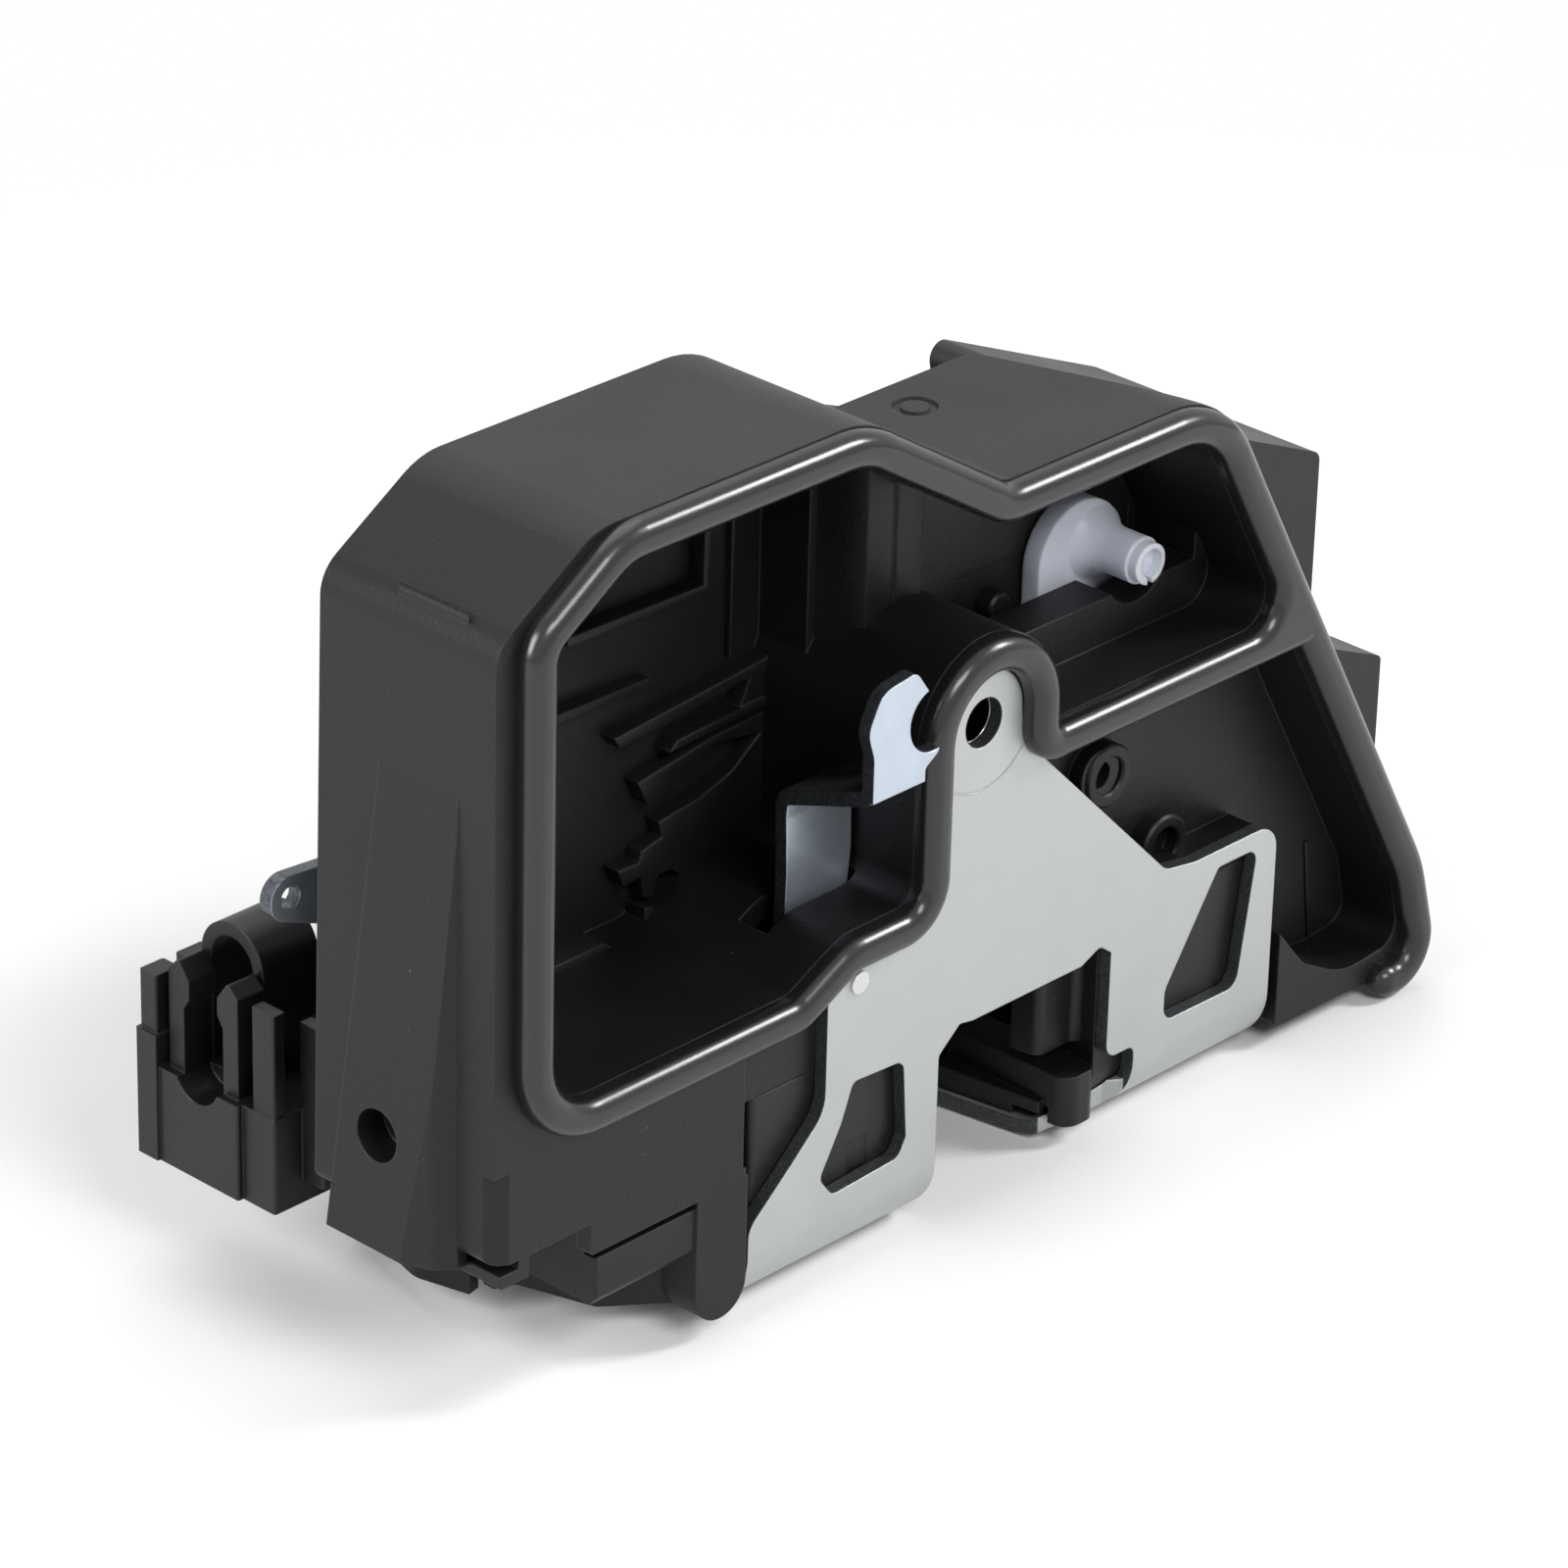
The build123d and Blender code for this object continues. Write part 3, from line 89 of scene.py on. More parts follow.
class LatchStage(bpy.types.PropertyGroup):
    """Where the camera stands and how bright the room is."""

    azimuth: bpy.props.FloatProperty(
        name="Camera azimuth", description="Turn of the camera round the latch",
        subtype="ANGLE", unit="ROTATION", default=radians(-47.0))
    elevation: bpy.props.FloatProperty(
        name="Camera elevation", description="Height angle of the camera",
        subtype="ANGLE", unit="ROTATION", default=radians(26.8))
    roll: bpy.props.FloatProperty(
        name="Camera roll", description="Roll of the camera",
        subtype="ANGLE", unit="ROTATION", default=radians(1.5))
    room_light: bpy.props.FloatProperty(
        name="Room light", description="Strength of the soft light from all round",
        min=0.0, max=2.0, default=0.22)
    lamp_level: bpy.props.FloatProperty(
        name="Lamp level", description="Share of full power that the studio lamps burn at",
        min=0.0, max=2.0, default=0.72)


# ------------------------------------------------------------------ shared node groups
class Nodes:
    """Adds and links nodes in one tree."""

    def __init__(self, tree):
        self.tree = tree
        self.count = 0

    def add(self, kind, **settings):
        node = self.tree.nodes.new(kind)
        self.count += 1
        node.location = (180 * (self.count % 6), -220 * (self.count // 6))
        for name, value in settings.items():
            setattr(node, name, value)
        return node

    def link(self, source, target):
        self.tree.links.new(source, target)

    def math(self, operation, first, second=None, clamp=False):
        node = self.add("ShaderNodeMath", operation=operation, use_clamp=clamp)
        for socket, value in zip(node.inputs, (first, second)):
            if isinstance(value, (int, float)):
                socket.default_value = value
            elif value is not None:
                self.link(value, socket)
        return node.outputs[0]

    def remap(self, value, low, high, to_low, to_high):
        node = self.add("ShaderNodeMapRange")
        self.link(value, node.inputs["Value"])
        for name, number in zip(("From Min", "From Max", "To Min", "To Max"), (low, high, to_low, to_high)):
            if isinstance(number, (int, float)):
                node.inputs[name].default_value = number
            else:
                self.link(number, node.inputs[name])
        return node.outputs["Result"]


def new_group(name, inputs, outputs):
    """Empty shader node group with its sockets; returns tree helper, input node, output node."""
    tree = bpy.data.node_groups.new(name, "ShaderNodeTree")
    for socket, kind, value in inputs:
        made = tree.interface.new_socket(name=socket, in_out="INPUT", socket_type=kind)
        made.default_value = value
    for socket, kind in outputs:
        tree.interface.new_socket(name=socket, in_out="OUTPUT", socket_type=kind)
    nodes = Nodes(tree)
    return nodes, nodes.add("NodeGroupInput"), nodes.add("NodeGroupOutput")


def softened_edge(nodes, radius):
    """Normal that is rounded over sharp edges, and a mask that is 1 along them."""
    rounded = nodes.add("ShaderNodeBevel", samples=4)
    nodes.link(radius, rounded.inputs["Radius"])
    geometry = nodes.add("ShaderNodeNewGeometry")
    turn = nodes.add("ShaderNodeVectorMath", operation="DOT_PRODUCT")
    nodes.link(rounded.outputs["Normal"], turn.inputs[0])
    nodes.link(geometry.outputs["True Normal"], turn.inputs[1])
    return rounded.outputs["Normal"], nodes.remap(turn.outputs["Value"], 0.985, 0.80, 0.0, 1.0)


def moulded_grain_group():
    """Spark-eroded grain: a fine stipple, slow tone changes and a few pale dust specks."""
    nodes, source, target = new_group(
        "moulded grain",
        [("Size", "NodeSocketFloat", 0.0005), ("Depth", "NodeSocketFloat", 0.00003),
         ("Edge Radius", "NodeSocketFloat", 0.0003), ("Dust", "NodeSocketFloat", 0.5)],
        [("Normal", "NodeSocketVector"), ("Tone", "NodeSocketFloat"), ("Edge", "NodeSocketFloat"),
         ("Dust", "NodeSocketFloat")])
    coords = nodes.add("ShaderNodeTexCoord").outputs["Object"]
    density = nodes.math("DIVIDE", 1.0, source.outputs["Size"])
    stipple = nodes.add("ShaderNodeTexNoise")
    stipple.inputs["Detail"].default_value = 2.0
    nodes.link(coords, stipple.inputs["Vector"])
    nodes.link(density, stipple.inputs["Scale"])
    edge_normal, edge_mask = softened_edge(nodes, source.outputs["Edge Radius"])
    nodes.link(edge_mask, target.inputs["Edge"])
    bump = nodes.add("ShaderNodeBump")
    bump.inputs["Strength"].default_value = 1.0
    nodes.link(source.outputs["Depth"], bump.inputs["Distance"])
    nodes.link(stipple.outputs["Fac"], bump.inputs["Height"])
    nodes.link(edge_normal, bump.inputs["Normal"])
    nodes.link(bump.outputs["Normal"], target.inputs["Normal"])
    clouds = nodes.add("ShaderNodeTexNoise")
    clouds.inputs["Scale"].default_value = 55.0
    clouds.inputs["Detail"].default_value = 4.0
    nodes.link(coords, clouds.inputs["Vector"])
    nodes.link(clouds.outputs["Fac"], target.inputs["Tone"])
    specks = nodes.add("ShaderNodeTexVoronoi")
    specks.inputs["Scale"].default_value = 170.0
    nodes.link(coords, specks.inputs["Vector"])
    speck = nodes.remap(specks.outputs["Distance"], 0.02, 0.035, 1.0, 0.0)
    nodes.link(nodes.math("MULTIPLY", speck, source.outputs["Dust"]), target.inputs["Dust"])
    return nodes.tree


def plated_metal_group():
    """Zinc or steel surface: soft bloom, faint upright drawing lines and a mask of its edges."""
    nodes, source, target = new_group(
        "plated metal",
        [("Bloom", "NodeSocketFloat", 0.1), ("Lines", "NodeSocketFloat", 0.1),
         ("Edge Radius", "NodeSocketFloat", 0.0003)],
        [("Normal", "NodeSocketVector"), ("Tone", "NodeSocketFloat"), ("Roughness Shift", "NodeSocketFloat"),
         ("Edge", "NodeSocketFloat")])
    coords = nodes.add("ShaderNodeTexCoord").outputs["Object"]
    bloom = nodes.add("ShaderNodeTexNoise")
    bloom.inputs["Scale"].default_value = 140.0
    bloom.inputs["Detail"].default_value = 6.0
    bloom.inputs["Roughness"].default_value = 0.6
    nodes.link(coords, bloom.inputs["Vector"])
    centred = nodes.math("SUBTRACT", bloom.outputs["Fac"], 0.5)
    stretch = nodes.add("ShaderNodeMapping")
    stretch.inputs["Scale"].default_value = (2600.0, 2600.0, 90.0)
    nodes.link(coords, stretch.inputs["Vector"])
    lines = nodes.add("ShaderNodeTexNoise")
    lines.inputs["Scale"].default_value = 1.0
    lines.inputs["Detail"].default_value = 3.0
    nodes.link(stretch.outputs["Vector"], lines.inputs["Vector"])
    line_centred = nodes.math("SUBTRACT", lines.outputs["Fac"], 0.5)
    line_tone = nodes.math("MULTIPLY", line_centred, source.outputs["Lines"])
    tone = nodes.math("ADD", nodes.math("MULTIPLY", centred, source.outputs["Bloom"]), line_tone)
    nodes.link(nodes.math("ADD", tone, 0.5), target.inputs["Tone"])
    nodes.link(nodes.math("MULTIPLY", centred, 0.25), target.inputs["Roughness Shift"])
    edge_normal, edge_mask = softened_edge(nodes, source.outputs["Edge Radius"])
    nodes.link(edge_mask, target.inputs["Edge"])
    bump = nodes.add("ShaderNodeBump")
    bump.inputs["Distance"].default_value = 0.000015
    nodes.link(bloom.outputs["Fac"], bump.inputs["Height"])
    nodes.link(edge_normal, bump.inputs["Normal"])
    nodes.link(bump.outputs["Normal"], target.inputs["Normal"])
    return nodes.tree


def sheared_edge_group():
    """Mask of the torn, darker edges that a press leaves round sheet steel."""
    nodes, source, target = new_group(
        "sheared edge", [("Bend Top", "NodeSocketFloat", 0.006)], [("Mask", "NodeSocketFloat")])
    coords = nodes.add("ShaderNodeTexCoord").outputs["Object"]
    place = nodes.add("ShaderNodeSeparateXYZ")
    nodes.link(coords, place.inputs["Vector"])
    facing = nodes.add("ShaderNodeSeparateXYZ")
    nodes.link(nodes.add("ShaderNodeNewGeometry").outputs["True Normal"], facing.inputs["Vector"])
    sideways = nodes.math("ABSOLUTE", facing.outputs["X"])
    forward = nodes.math("ABSOLUTE", facing.outputs["Y"])
    above_bend = nodes.math("GREATER_THAN", place.outputs["Z"], source.outputs["Bend Top"])
    upright = nodes.math("MULTIPLY", nodes.remap(forward, 0.45, 0.75, 1.0, 0.0), above_bend)
    flank = nodes.remap(sideways, 0.5, 0.8, 0.0, 1.0)
    either = nodes.math("MAXIMUM", upright, flank)
    tear = nodes.add("ShaderNodeTexNoise")
    tear.inputs["Scale"].default_value = 2600.0
    tear.inputs["Detail"].default_value = 3.0
    nodes.link(coords, tear.inputs["Vector"])
    ragged = nodes.remap(tear.outputs["Fac"], 0.35, 0.62, 0.88, 1.0)
    nodes.link(nodes.math("MULTIPLY", either, ragged), target.inputs["Mask"])
    return nodes.tree


# ------------------------------------------------------------------ materials
def shaded(name, groups, **settings):
    """Material with a Principled shader; settings are written on the shader's own sockets."""
    made = bpy.data.materials.new(name)
    made.use_nodes = True
    nodes = Nodes(made.node_tree)
    shader = made.node_tree.nodes["Principled BSDF"]
    for socket, value in settings.items():
        shader.inputs[socket.replace("_", " ")].default_value = value
    placed = []
    for tree in groups:
        group = nodes.add("ShaderNodeGroup")
        group.node_tree = tree
        placed.append(group)
    return made, nodes, shader, placed


def toned(nodes, factor, dark, light):
    """Colour that runs from dark to light with the factor."""
    mix = nodes.add("ShaderNodeMix", data_type="RGBA")
    nodes.link(factor, mix.inputs["Factor"])
    mix.inputs["A"].default_value = (*dark, 1.0)
    mix.inputs["B"].default_value = (*light, 1.0)
    return mix.outputs["Result"]


def over(nodes, factor, below, colour):
    """Lays a plain colour over another colour socket by a mask."""
    mix = nodes.add("ShaderNodeMix", data_type="RGBA")
    nodes.link(factor, mix.inputs["Factor"])
    nodes.link(below, mix.inputs["A"])
    mix.inputs["B"].default_value = (*colour, 1.0)
    return mix.outputs["Result"]


def scaled(colour, factor):
    return tuple(min(1.0, channel * factor) for channel in colour)


def moulded(name, grain, colour, roughness, depth, size, edge_radius, dust=0.5, gloss=0.5, milk=0.0):
    """Moulded plastic or rubber with a painted highlight along its edges; milk is how much light goes in and
    comes out again nearby.
    """
    made, nodes, shader, (group,) = shaded(
        name, [grain], Specular_IOR_Level=gloss, Subsurface_Weight=milk, Subsurface_Scale=0.002,
        Subsurface_Radius=(1.0, 1.0, 1.0))
    group.inputs["Size"].default_value = size
    group.inputs["Depth"].default_value = depth
    group.inputs["Edge Radius"].default_value = edge_radius
    group.inputs["Dust"].default_value = dust
    body = toned(nodes, group.outputs["Tone"], scaled(colour, 0.82), scaled(colour, 1.18))
    # Painted highlight: the edge mask lays a much lighter colour along the moulded edges, where rounded edges
    # would catch the light.
    rim = nodes.math("MULTIPLY", group.outputs["Edge"], 0.5)
    body = over(nodes, rim, body, scaled(colour, 7.0))
    body = over(nodes, group.outputs["Dust"], body, (0.20, 0.20, 0.20))
    nodes.link(body, shader.inputs["Base Color"])
    nodes.link(nodes.remap(group.outputs["Tone"], 0.3, 0.7, roughness - 0.05, roughness + 0.05),
               shader.inputs["Roughness"])
    nodes.link(group.outputs["Normal"], shader.inputs["Normal"])
    return made


def plated(name, metal, colour, roughness, metallic, bloom, lines, edge_radius, sheared=None):
    """Plated or bare steel with a painted highlight along its edges, and the press's torn edges when a mask
    group for them is given.
    """
    made, nodes, shader, placed = shaded(name, [metal] + ([sheared] if sheared else []), Metallic=metallic)
    group = placed[0]
    group.inputs["Bloom"].default_value = bloom
    group.inputs["Lines"].default_value = lines
    group.inputs["Edge Radius"].default_value = edge_radius
    body = toned(nodes, group.outputs["Tone"], scaled(colour, 0.55), scaled(colour, 1.45))
    # Painted highlight: the edge mask lays a lighter colour along the edges, standing in for the shine of
    # rounded edges.
    body = over(nodes, nodes.math("MULTIPLY", group.outputs["Edge"], 0.5), body, scaled(colour, 1.25))
    if sheared:
        body = over(nodes, placed[1].outputs["Mask"], body, (0.055, 0.060, 0.066))
    nodes.link(body, shader.inputs["Base Color"])
    nodes.link(nodes.math("ADD", group.outputs["Roughness Shift"], roughness), shader.inputs["Roughness"])
    nodes.link(group.outputs["Normal"], shader.inputs["Normal"])
    return made


class LATCH_OT_finishes(bpy.types.Operator):
    """Give every part of the latch its finish"""

    bl_idname = "latch.finishes"
    bl_label = "Part finishes"

    def execute(self, context):
        looks = context.scene.latch_finishes
        grain = moulded_grain_group()
        metal = plated_metal_group()
        sheared = sheared_edge_group()
        edge = looks.edge_radius
        plastic = tuple(looks.plastic_colour)
        finishes = (
            (moulded("housing plastic", grain, plastic, roughness=0.44, depth=0.00004,
                     size=looks.grain_size, edge_radius=edge, dust=0.25, gloss=0.28),
             ("front_housing",)),
            (moulded("cover plastic", grain, scaled(plastic, 0.85), roughness=0.42, depth=0.00003,
                     size=looks.grain_size, edge_radius=edge, dust=0.2, gloss=0.34),
             ("rear_cover", "latch_body", "cable_holder")),
            (moulded("seal rubber", grain, tuple(looks.rubber_colour), roughness=0.22, depth=0.000004,
                     size=0.0009, edge_radius=edge, dust=0.1, gloss=0.5),
             ("gasket", "striker_bumper")),
            (moulded("catch overmould", grain, scaled(plastic, 1.1), roughness=0.42, depth=0.00001,
                     size=0.0006, edge_radius=edge, dust=0.1),
             ("catch_jacket",)),
            (moulded("milky acetal", grain, (0.68, 0.71, 0.80), roughness=0.34, depth=0.000004,
                     size=0.0012, edge_radius=edge, dust=0.0, gloss=0.4, milk=0.7),
             ("key_cam", "actuator_wheel", "lock_lever")),
            (plated("zinc plate", metal, tuple(looks.zinc_colour), roughness=0.44, metallic=0.70,
                    bloom=0.16, lines=0.07, edge_radius=edge, sheared=sheared),
             ("latch_plate", "back_plate")),
            (plated("blue zinc", metal, tuple(looks.lever_colour), roughness=0.32, metallic=0.75,
                    bloom=0.45, lines=0.08, edge_radius=edge, sheared=sheared),
             ("release_lever", "inside_lever")),
            (plated("turned steel", metal, (0.60, 0.60, 0.61), roughness=0.28, metallic=1.0,
                    bloom=0.10, lines=0.10, edge_radius=edge),
             ("catch", "pawl", "catch_pin", "pawl_pin", "release_pin", "wheel_pin", "lock_pin",
              "inside_pin", "plate_rivet", "motor_shaft", "motor")),
            (plated("polished collar", metal, (0.60, 0.60, 0.61), roughness=0.14, metallic=1.0,
                    bloom=0.04, lines=0.02, edge_radius=edge),
             ("hole_collar",)),
            (plated("spring wire", metal, (0.40, 0.41, 0.43), roughness=0.30, metallic=1.0,
                    bloom=0.10, lines=0.02, edge_radius=0.0),
             ("catch_spring", "pawl_spring")),
            (plated("brass", metal, (0.72, 0.55, 0.26), roughness=0.30, metallic=1.0,
                    bloom=0.10, lines=0.05, edge_radius=edge),
             ("motor_pinion",)),
        )
        for material, names in finishes:
            for name in names:
                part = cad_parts[name]
                part.data.materials.clear()
                part.data.materials.append(material)
        return {"FINISHED"}


# ------------------------------------------------------------------ modelling
def pick(piece, kind, test):
    """Selects, in edit mode, the vertices, edges or faces of the piece that pass the test."""
    bpy.ops.mesh.select_mode(type=kind)
    bpy.ops.mesh.select_all(action="DESELECT")
    mesh = bmesh.from_edit_mesh(piece.data)
    for element in {"VERT": mesh.verts, "EDGE": mesh.edges, "FACE": mesh.faces}[kind]:
        if test(element):
            element.select_set(True)
    mesh.select_flush_mode()
    bmesh.update_edit_mesh(piece.data)


def into_mesh(name):
    """Names the new primitive and writes its place, turn and size into its mesh."""
    piece = bpy.context.object
    piece.name = name
    bpy.ops.object.transform_apply(location=True, rotation=True, scale=True)
    return piece


def softened(piece, width, segments=2):
    """Rounds the sharp edges of the piece and smooths its faces."""
    rounding = piece.modifiers.new("rounding", "BEVEL")
    rounding.width = width * MM
    rounding.segments = segments
    rounding.limit_method = "ANGLE"
    rounding.angle_limit = radians(40)
    bpy.ops.object.modifier_apply(modifier="rounding")
    bpy.ops.object.shade_smooth_by_angle(angle=radians(40))


def outlined(name, outline, back, front, rim=0.12):
    """Moulding of the given X and Z outline, raised from the depth back to the depth front."""
    bpy.ops.object.select_all(action="DESELECT")
    bpy.ops.mesh.primitive_circle_add(
        vertices=len(outline), radius=MM, fill_type="NGON", location=(0, back * MM, 0),
        rotation=(pi / 2, 0, 0))
    piece = into_mesh(name)
    bpy.ops.object.mode_set(mode="EDIT")
    for number, (x, z) in enumerate(outline):
        pick(piece, "VERT", lambda corner: corner.index == number)
        corners = bmesh.from_edit_mesh(piece.data).verts
        corners.ensure_lookup_table()
        bpy.ops.transform.translate(value=Vector((x, back, z)) * MM - corners[number].co)
    bpy.ops.mesh.select_all(action="SELECT")
    bpy.ops.mesh.extrude_region_move(TRANSFORM_OT_translate={"value": (0, (front - back) * MM, 0)})
    bpy.ops.mesh.select_all(action="SELECT")
    bpy.ops.mesh.normals_make_consistent(inside=False)
    bpy.ops.object.mode_set(mode="OBJECT")
    softened(piece, rim)
    return piece


def merged(name, pieces):
    """Joins mouldings of one material into one named piece."""
    bpy.ops.object.select_all(action="DESELECT")
    for piece in pieces:
        piece.select_set(True)
    bpy.context.view_layer.objects.active = pieces[0]
    if len(pieces) > 1:
        bpy.ops.object.join()
    pieces[0].name = name
    pieces[0].data.name = name
    return pieces[0]


def fitted(piece, material, body="housing_assembly"):
    """Gives the piece its finish and lets it ride on the body that carries it."""
    piece.data.materials.clear()
    piece.data.materials.append(bpy.data.materials[material])
    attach(piece, body)


class LATCH_OT_chamber_ribs(bpy.types.Operator):
    """Ribs, webs and stops moulded on the floor of the lever chamber"""

    bl_idname = "latch.chamber_ribs"
    bl_label = "Lever chamber ribs"

    def execute(self, context):
        floor = CHAMBER_FLOOR
        shapes = [
            ("upper_web", floor, 23.6, (
                (-18.8, 63.7), (-20.4, 62.9), (-44.3, 61.0), (-43.4, 59.5), (-33.1, 60.2), (-22.6, 61.4),
                (-24.3, 57.9), (-18.8, 58.3))),
            ("long_rib", floor, 23.2, (
                (-18.8, 58.4), (-30.0, 57.9), (-34.6, 57.7), (-35.9, 56.5), (-28.3, 56.9), (-18.8, 57.3))),
            ("lower_web", floor, 23.6, (
                (-18.8, 56.3), (-28.3, 55.9), (-40.5, 54.2), (-38.9, 50.9), (-36.0, 51.2), (-32.9, 51.8),
                (-31.1, 54.1), (-27.8, 54.9), (-20.7, 53.8), (-25.2, 50.5), (-30.3, 48.9), (-37.0, 48.1),
                (-36.4, 46.0), (-39.8, 45.4), (-40.1, 44.0), (-43.5, 44.2), (-42.5, 41.8), (-39.7, 42.2),
                (-39.4, 39.4), (-37.8, 38.8), (-37.2, 41.4), (-35.0, 41.4), (-29.5, 37.2), (-28.0, 33.0),
                (-18.8, 33.0))),
            ("cross_bar", floor, 22.8, ((-36.5, 37.3), (-30.0, 37.5), (-30.0, 36.1), (-35.7, 35.6))),
            ("cross_post", floor, 22.8, (
                (-39.9, 38.5), (-38.4, 38.3), (-37.7, 34.0), (-35.3, 34.4), (-34.8, 32.2), (-39.1, 31.9),
                (-39.3, 33.6), (-42.6, 33.1), (-42.6, 34.5), (-39.6, 35.0))),
            ("window_frame", floor, 23.4, (
                (-52.0, 76.0), (-30.6, 75.5), (-30.6, 86.0), (-29.6, 86.0), (-29.6, 74.4), (-52.0, 74.9))),
            ("guide_rib", floor, 24.0, ((-64.0, 66.9), (-38.4, 66.5), (-37.9, 65.5), (-64.0, 65.4))),
            ("floor_step", floor, 21.5, (
                (-64.0, 37.3), (-47.6, 37.4), (-43.0, 34.0), (-42.4, 30.5), (-64.0, 30.5))),
            ("stop_wall", floor, 18.4, (
                (-29.3, 36.6), (-28.2, 36.8), (-23.4, 32.2), (-24.3, 29.4), (-25.6, 29.4), (-24.9, 31.8))),
            ("back_rib_left", floor, 25.0, ((-56.5, 98.0), (-55.7, 98.0), (-55.7, 77.0), (-56.5, 77.0))),
            ("back_rib_right", floor, 25.0, ((-24.6, 94.0), (-23.9, 94.0), (-23.9, 64.0), (-24.6, 64.0))),
        ]
        ribs = [outlined(name, outline, back, front) for name, back, front, outline in shapes]
        fitted(merged("lever_chamber_ribs", ribs), "housing plastic")
        return {"FINISHED"}


class LATCH_OT_window_shield(bpy.types.Operator):
    """Plastic wall that closes the plate's left window in front of the catch"""

    bl_idname = "latch.window_shield"
    bl_label = "Window shield"

    def execute(self, context):
        wall = outlined("wall", ((-35.5, 3.0), (-35.5, 21.2), (-16.0, 21.2), (-16.0, 3.0)), 2.75, 2.05, 0.1)
        step = outlined("step", ((-24.6, 3.2), (-24.6, 20.8), (-16.2, 20.8), (-16.2, 3.2)), 2.2, 1.88, 0.1)
        fitted(merged("window_shield", [wall, step]), "cover plastic")
        return {"FINISHED"}


class LATCH_OT_stamped_ring(bpy.types.Operator):
    """Fine ring that the press leaves on the plate, below the big hole"""

    bl_idname = "latch.stamped_ring"
    bl_label = "Stamped ring"

    def execute(self, context):
        steps = 20
        turns = [radians(-140.0 + 125.0 * step / steps) for step in range(steps + 1)]

        def arc(radius, angles):
            return [(PLATE_HOLE.x + radius * cos(turn), PLATE_HOLE.z + radius * sin(turn)) for turn in angles]

        band = arc(8.70, turns) + arc(8.42, reversed(turns))
        fitted(outlined("stamped_ring", band, 0.1, -0.05, 0.02), "zinc plate")
        return {"FINISHED"}


class LATCH_OT_middle_pillar(bpy.types.Operator):
    """Pillar between the lever chamber and the key chamber, with the ledge at its foot"""

    bl_idname = "latch.middle_pillar"
    bl_label = "Middle pillar"

    def execute(self, context):
        pillar = outlined(
            "pillar", ((-15.4, 60.5), (-6.0, 60.5), (-6.0, 85.6), (-9.5, 88.0), (-15.4, 91.0)),
            19.5, 13.0, 0.3)
        bpy.ops.object.mode_set(mode="EDIT")
        pick(pillar, "VERT", lambda corner: corner.co.y > 0.018 and corner.co.x < -0.0148)
        bpy.ops.transform.translate(value=(-2.8 * MM, 0, 0))
        bpy.ops.object.mode_set(mode="OBJECT")
        ledge = outlined("ledge", ((-12.4, 58.0), (-12.4, 65.5), (-3.6, 65.7), (-7.5, 63.6), (-11.4, 62.6),
                                   (-11.4, 58.0)), 14.5, 11.6)
        groove_lip = outlined(
            "groove_lip", ((-10.9, 66.5), (-10.4, 66.5), (-10.4, 86.5), (-10.9, 86.8)), 13.4, 12.7)
        fitted(merged("middle_pillar", [pillar, ledge, groove_lip]), "housing plastic")
        return {"FINISHED"}


def turned(name, centre, axis, profile, sides=40):
    """Round piece: rings of the given radii and heights along the axis, closed at both ends."""
    bpy.ops.object.select_all(action="DESELECT")
    turn = Vector(axis).to_track_quat("Z", "Y").to_euler()
    first_radius, first_height = profile[0]
    bpy.ops.mesh.primitive_circle_add(
        vertices=sides, radius=first_radius * MM, fill_type="NGON", rotation=turn,
        location=(Vector(centre) + Vector(axis) * first_height) * MM)
    piece = into_mesh(name)
    bpy.ops.object.mode_set(mode="EDIT")
    bpy.ops.mesh.select_all(action="SELECT")
    radius, height = first_radius, first_height
    for next_radius, next_height in profile[1:]:
        step = Vector(axis) * (next_height - height) * MM
        ring_centre = (Vector(centre) + Vector(axis) * next_height) * MM
        bpy.ops.mesh.extrude_region_move(TRANSFORM_OT_translate={"value": step})
        growth = next_radius / radius
        bpy.ops.transform.resize(value=(growth, growth, growth), center_override=ring_centre)
        radius, height = next_radius, next_height
    bpy.ops.mesh.select_all(action="SELECT")
    bpy.ops.mesh.normals_make_consistent(inside=False)
    bpy.ops.object.mode_set(mode="OBJECT")
    bpy.ops.object.shade_smooth_by_angle(angle=radians(35))
    return piece


class LATCH_OT_recess_bosses(bpy.types.Operator):
    """Screw bosses and stiffening lips in the side recess and the key chamber"""

    bl_idname = "latch.recess_bosses"
    bl_label = "Recess bosses"

    def execute(self, context):
        front = (0, -1, 0)
        ring = ((4.0, 0.0), (4.0, 2.6), (3.7, 2.9), (2.6, 2.9), (2.3, 2.6), (2.3, 0.9), (0.2, 0.9))
        bosses = [
            turned("recess_boss", (20.4, RECESS_FLOOR, 40.2), front, ring),
            turned("recess_boss_low", (31.2, RECESS_FLOOR, 27.2), front, ring),
            turned("chamber_boss", (11.2, 19.0, 61.6), front, (
                (1.8, 0.0), (1.8, 2.6), (1.5, 2.9), (0.2, 2.9))),
        ]
        lips = [
            outlined(
                "recess_lip", ((60.3, 16.5), (60.9, 16.6), (62.6, 2.9), (62.0, 2.8)),
                RECESS_FLOOR, 8.1, 0.06),
            outlined(
                "recess_lip_high", ((50.4, 48.2), (50.7, 48.2), (60.9, 27.4), (60.6, 27.4)),
                RECESS_FLOOR, 8.4, 0.05),
        ]
        fitted(merged("recess_bosses", bosses + lips), "housing plastic")
        return {"FINISHED"}


